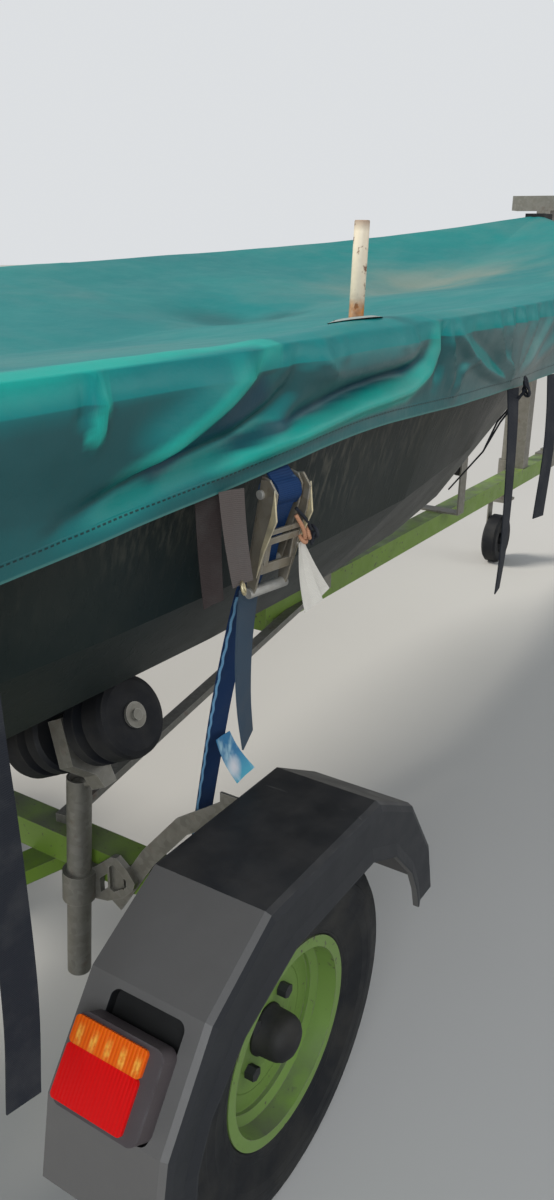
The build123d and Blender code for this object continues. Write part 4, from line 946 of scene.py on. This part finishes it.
# Round bars: run, height out, half length, radius, and how many sides they are drawn with
BARS = ((0, 2, 28, 5, 16), (85, 0, 23, 4.5, 16), (114, 8, 28, 6, 20))
# The wound webbing: radius, how much of it is lost per radian, height out, half width
SPOOL = (15, 0.35, 2, 17.5)
# Tie-down strap from the ratchet to its hook, in mm; widths and walls of it, its loose end and the cover's
# tapes in metres; its sewn edge's thread: radius, how far it winds about the edge, and radians per step
STRAP_RUN = ((-24, 627, 885), (16, 568, 735), (60, 514, 585), (101, 458, 402), (104, 454, 391))
STRAP_WIDE, STRAP_WALL = 0.035, 0.0025
LOOSE_WALL = 0.002
TIE_WIDE, TIE_WALL = 0.037, 0.0018
THREAD = (0.0017, 0.0006, 0.9)


def ratchet_frame(side):
    down = Vector((RATCHET_DOWN[0], side * RATCHET_DOWN[1], RATCHET_DOWN[2])).normalized()
    over = Vector((RATCHET_ACROSS[0], side * RATCHET_ACROSS[1], RATCHET_ACROSS[2]))
    over = (over - down * over.dot(down)).normalized()
    out = down.cross(over)
    if out.y * side < 0:
        out = -out
    return place(RATCHET_PLACE[0], side * RATCHET_PLACE[1], RATCHET_PLACE[2]), down, over, out


def make_ratchets():
    plates, bars, webs, roll, flanges = Solids(), Solids(), Solids(), Solids(), Solids()
    for side in (-1, 1):
        centre, down, over, out = ratchet_frame(side)

        def at(run, height, across):
            return centre + (down * run + out * height + over * across) / 1000

        def flat(corners, height, wall):
            plates.loft([[at(run, h, across) for run, across in corners] for h in (height, height + wall)])

        for end in (-1, 1):
            for solid, outline, wall in ((plates, FRAME_SIDE, FRAME_WALL), (plates, HANDLE_SIDE, HANDLE_WALL),
                                         (flanges, FLANGE, FLANGE_WALL)):
                solid.loft([[at(run, height, end * across) for run, height in outline] for across in wall])
            low, high, inner, outer, height, wall = SIDE_RAILS
            inner, outer = inner * end, outer * end
            flat(((low, inner), (low, outer), (high, outer), (high, inner)), height, wall)
        for low, high, half, height, wall in CROSS_PLATES:
            flat(((low, -half), (low, half), (high, half), (high, -half)), height, wall)
        for run, height, half, radius, sides in BARS:
            bars.rod(at(run, height, -half), at(run, height, half), radius / 1000, sides)
        # the wound webbing, its layers ending in a step, and the run up under the cover
        radius, thinner, height, half = SPOOL
        turns = [(2 * math.pi * k / 40, radius - 2 * math.pi * k / 40 * thinner) for k in range(40)]
        roll.loft([[at(-math.cos(t) * r, height + math.sin(t) * r, across) for t, r in turns]
                   for across in (-half, half)])
        width = (STRAP_WIDE, STRAP_WIDE)
        top = [at(12, 12, 0), at(0, 17.5, 0), at(-11, 13, 0), at(-16, 2, 0),
               place(-46, side * 672, 1050), place(-45, side * 668, 1080)]
        webs.tape(smooth_line(top), over, X, width, STRAP_WALL)
        run = [at(85, -5, 0)] + [place(x, side * y, z) for x, y, z in STRAP_RUN]
        webs.tape(smooth_line(run), over, Vector((1, 0.05 * side, 0)), width, STRAP_WALL)
        # the webbing that shows in the handle's window
        seen = [at(8, 15, -3), at(34, 10, -4), at(60, 6, -5), at(85, 5, -5)]
        webs.tape(smooth_line(seen), over, over, (0.026, 0.028), 0.0022)
    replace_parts(plates.piece("ratchet_plates", "galvanised", TAN_STEEL, soft=0.0006), "strap_ratchets")
    # the flanges take the sunlit copy of the ratchet's zinc: painted sunlight
    flanges.piece("ratchet_flanges", "galvanised", SUNLIT_ZINC, soft=0.0006)
    bars.piece("ratchet_bars", "galvanised", PALE_STEEL, soft=0.0004)
    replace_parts(webs.piece("strap_webbing", "blue_webbing"), "tie_down_straps")
    roll.piece("strap_rolls", "blue_webbing", ROLL_TAPE, soft=0.001)


def make_strap_edges():
    """A sewn, paler edge along the aft side of each tie-down strap."""
    edge = Solids()
    radius, off, turn = THREAD
    aft = STRAP_WIDE * 500
    for side in (-1, 1):
        run = smooth_line([place(x - aft, side * y, z) for x, y, z in STRAP_RUN], 40)
        wound = [(X * math.cos(k * turn) + Y * math.sin(k * turn)) * off for k in range(len(run))]
        edge.wire([point + by for point, by in zip(run, wound)], radius, 6)
    edge.piece("strap_edges", "blue_webbing", EDGE_TAPE, shade=True)


def hang_tape(name, run, steps, first, last, wide, wall, slot, paint=None):
    """A limp tape that hangs through points given in mm."""
    points = smooth_line(places(run), steps)
    tape = Solids()
    tape.tape(points, Vector(first), Vector(last), (wide, wide), wall)
    made = tape.piece(name, slot, paint)
    return made


# The ratchet's loose tape beside the strap, and the cover's tie tapes: the node that each replaces, its
# points, and how far its top is turned
LOOSE_TAPE = ((-50, -650, 905), (-50, -646, 880), (-46, -639, 820), (-33, -631, 755), (-16, -625, 695))
TIE_TAPES = (
    ("cover_tie_1", ((-424, -650, 1012), (-425, -655, 900), (-420, -657, 760), (-416, -655, 620),
                     (-421, -652, 512)), 0.06),
    ("cover_tie_2", ((558, -716, 1056), (557, -722, 990), (562, -724, 890), (570, -722, 800),
                     (569, -719, 731)), -0.1),
    ("cover_tie_3", ((722, -724, 1062), (721, -730, 1000), (724, -731, 930), (722, -727, 822)), -0.1),
)


def make_tapes():
    hang_tape("ratchet_tape_end", LOOSE_TAPE, 10, (0.95, -0.1, 0), (0.96, 0.25, 0), STRAP_WIDE, LOOSE_WALL,
              "blue_webbing", GREY_TAPE)
    for number, (node, run, turn) in enumerate(TIE_TAPES, start=1):
        first, last = (1, turn, 0), (1, 0.16 * (-1) ** number, 0)
        name = f"tie_tape_{number}"
        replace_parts(hang_tape(name, run, 8, first, last, TIE_WIDE, TIE_WALL, "dark_webbing"), node)


# Small flat pieces of cloth: name, slot, finish, what they rest on, how far they bow, and four corners in
# mm: the two that each hangs by and then the two below
LEAVES = (
    ("strap_label", "blue_webbing", LABEL, "strap_webbing", 0.004,
     ((20, -552, 656), (56, -548, 652), (91, -565, 586), (45, -568, 585))),
    ("tab_flap", "dark_webbing", TAB_LINING, "cover_cloth", 0.003,
     ((-158, -658, 1030), (-132, -671, 1030), (-100, -650, 905), (-120, -639, 898))),
    ("tab", "dark_webbing", TAB_CLOTH, "cover_cloth", 0.004,
     ((-150, -680, 1034), (-128, -694, 1036), (-108, -692, 938), (-128, -681, 932))),
    ("tag_back", "dark_webbing", WHITE_TAPE, "cover_cloth", 0.002,
     ((-27, -694, 957), (-15, -694, 957), (47, -694, 884), (20, -694, 876))),
    ("tag_front", "dark_webbing", WHITE_TAPE, "cover_cloth", 0.003,
     ((-30, -698, 958), (-20, -698, 958), (24, -699, 878), (-14, -698, 874))),
)
LEAF_WALL = 0.0007


def make_leaves():
    rows = 9
    for name, slot, paint, rests_on, curl, corners in LEAVES:
        a, b, c, d = places(corners)
        out = (b - a).cross(d - a).normalized()
        back = out * LEAF_WALL
        rings = []
        for t in (k / (rows - 1) for k in range(rows)):
            bow = out * curl * math.sin(t * math.pi)
            left, right = a.lerp(d, t) + bow, b.lerp(c, t) + bow
            mid = (left + right) / 2 + out * curl * 0.4
            rings.append([left, mid, right, right - back, mid - back, left - back])
        leaf = Solids()
        leaf.loft(rings)
        made = leaf.piece(name, slot, paint)


# Loose loops of thin cord tied at the tag and at the cover's tie: whether warm, centre and radius in mm, and
# which way each faces
KNOT_LOOPS = (
    (1, (-14, -699, 968), 9, (0.5, -0.8, 0.3)),
    (0, (-6, -702, 966), 7, (0.9, -0.3, 0.2)),
    (0, (-2, -700, 959), 9, (0.3, -0.9, -0.2)),
    (1, (-22, -698, 962), 7, (0.2, -0.7, 0.7)),
    (0, (553, -738, 1060), 12, (0.6, -0.8, 0.2)),
    (0, (549, -738, 1068), 9, (0.1, -0.9, 0.4)),
    (0, (560, -736, 1053), 8, (0.9, -0.4, 0.0)),
)
# Radii of cord, in metres: dark, warm, and pulled tight
DARK_CORD, WARM_CORD, TIGHT_CORD = 0.0018, 0.0022, 0.0016


def loop(solid, centre, facing, radius, wire, sides, narrow=1.0):
    """A closed ring of wire about a point given in mm."""
    side, other = square_to(Vector(facing).normalized())
    points = circle(place(*centre), side, other * narrow, radius, sides)
    solid.wire(points + points[:1], wire)


def make_knots():
    dark, warm, eyelet = Solids(), Solids(), Solids()
    for tint, centre, radius, facing in KNOT_LOOPS:
        solid, wire = (warm, WARM_CORD) if tint else (dark, DARK_CORD)
        loop(solid, centre, facing, radius / 1000, wire, 20, 0.7)
    # thin cord from the tie, pulled tight under the hull's side to the drawbar
    for shift in (0, 5):
        pull = ((553 + shift, -736, 1056), (640, -668 - shift, 990), (728, -617, 921), (905, -489, 800))
        dark.wire(places(pull), TIGHT_CORD)
    for solid, wire, run in ((dark, DARK_CORD, ((-46, -703, 1000), (-30, -706, 985), (-14, -703, 970))),
                             (warm, WARM_CORD, ((-44, -702, 992), (-32, -704, 975), (-24, -702, 962)))):
        solid.wire(smooth_line(places(run)), wire)
    loop(eyelet, (-118, -687, 931), (0.45, -0.85, 0.25), 0.0062, 0.0018, 24)
    eyelet.piece("tab_eyelet", "galvanised", BRASS, shade=True)
    dark.piece("knots", "dark_webbing", shade=True)
    warm.piece("warm_knots", "dark_webbing", TAN_CORD, shade=True)


# The post's ends and its outline: radius, and at what share of its height
POST_FOOT, POST_TOP = place(POST_X, POST_Y, 1101.5), place(POST_X + 9, POST_Y, 1280)
POST_OUTLINE = ((0.0088, 0.0), (0.0088, 0.993), (0.0082, 1.0), (0.0068, 1.0), (0.0064, 0.93))
# The collar round it: middle, outline as radius and height, and how it falls to port and forward
COLLAR_PLACE = place(POST_X + 1, POST_Y, 1171)
COLLAR_OUTLINE = ((0.0145, -0.0009), (0.016, 0.0026), (0.023, 0.0028), (0.0325, 0.0))
COLLAR_SLOPE = Vector((-0.045, -0.18, 0))


def make_post():
    """The post is a thin tube that leans forward a little, with a collar where it comes through the cover."""
    tube, collar = Solids(), Solids()
    sides = 32
    tube.loft([circle(POST_FOOT.lerp(POST_TOP, at), X, Y, radius, sides) for radius, at in POST_OUTLINE])
    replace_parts(tube.piece("post_tube", "post_paint", shade=True), "gunwale_post")
    rings = []
    for radius, height in COLLAR_OUTLINE:
        flat = circle(Z * height, X, Y, radius, sides)
        rings.append([COLLAR_PLACE + point + Z * point.dot(COLLAR_SLOPE) for point in flat])
    quads = [(k, (k + 1) % sides, sides + (k + 1) % sides, sides + k) for k in range(sides)]
    for inner, outer in zip(rings, rings[1:]):
        collar.add(inner + outer, quads)
    collar.piece("post_ring", "cover_fabric", RING_TAPE, shade=True)


# Hub cap's outline: radius, and how far it stands out from the hub's face, in metres
CAP_OUTLINE = ((0.012, 0.0505), (0.022, 0.047), (0.029, 0.041), (0.0325, 0.033), (0.0335, 0.024),
               (0.034, 0.006), (0.0365, 0.004), (0.0365, 0.0))


def make_hub_caps():
    for side, word in ((-1, "starboard"), (1, "port")):
        node = f"hub_cap_{word}"
        inner = min(abs(corner[1]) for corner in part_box(node))
        cap = Solids()
        cap.loft([circle(Vector((AXLE_X, side * (inner + out), WHEEL_HEIGHT)), X, Z, radius, 48)
                  for radius, out in CAP_OUTLINE])
        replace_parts(cap.piece(f"cap_{word}", SLOT_OF[node], CAP_RUBBER, f"wheel_{word}", shade=True), node)


make_post()
make_hub_caps()
make_ratchets()
make_strap_edges()
make_tapes()
make_leaves()
make_knots()


# ---- floor and light


# Lights: name, kind, place and aim from the axle, size, power, colour
LIGHTS = (
    ("key", "SUN", (-2.5, 4.5, 6.0), (0.6, 0, 0.9), 0.35, 3.1, (1.0, 0.95, 0.86)),
    ("side", "AREA", (3.5, -5.0, 4.0), (0.3, -0.5, 0.6), 3.5, 70, (1.0, 0.97, 0.92)),
    ("back", "AREA", (-4.0, -3.0, 3.0), (0, -0.4, 0.6), 3.0, 150, (0.9, 0.95, 1.0)),
)
# The world's light, and what the camera sees of it: colour and power
SKY_LIGHT = ((0.74, 0.8, 0.88, 1), 0.55)
SKY_SEEN = ((0.72, 0.74, 0.76, 1), 1.0)


def make_stage():
    bpy.ops.mesh.primitive_plane_add(size=80, location=(0, 0, 0))
    floor = bpy.context.object
    floor.name = "floor"
    p = Paint("floor_paint", (0.5, 0.49, 0.47), 0.8)
    p.tint((0.44, 0.43, 0.41), p.cloud(1.5, 0.3, 0.8), 0.2)
    floor.data.materials.append(p.done())
    world = bpy.data.worlds.new("studio")
    bpy.context.scene.world = world
    world.use_nodes = True
    nodes, links = world.node_tree.nodes, world.node_tree.links
    mixed = nodes.new("ShaderNodeMixShader")
    links.new(nodes.new("ShaderNodeLightPath").outputs["Is Camera Ray"], mixed.inputs[0])
    sky, seen = nodes["Background"], nodes.new("ShaderNodeBackground")
    for number, node, (colour, power) in ((1, sky, SKY_LIGHT), (2, seen, SKY_SEEN)):
        node.inputs[0].default_value = colour
        node.inputs[1].default_value = power
        links.new(node.outputs[0], mixed.inputs[number])
    links.new(mixed.outputs[0], nodes["World Output"].inputs[0])
    for name, kind, where, aim, size, power, colour in LIGHTS:
        light = new_object(name, bpy.data.lights.new(name, kind))
        setattr(light.data, "angle" if kind == "SUN" else "size", size)
        light.data.energy = power
        light.data.color = colour
        light.location = Vector(where) + X * AXLE_X
        light.rotation_mode = "QUATERNION"
        light.rotation_quaternion = (Vector(aim) - Vector(where)).to_track_quat("-Z", "Y")
    bpy.context.scene.view_settings.view_transform = "Standard"


make_stage()
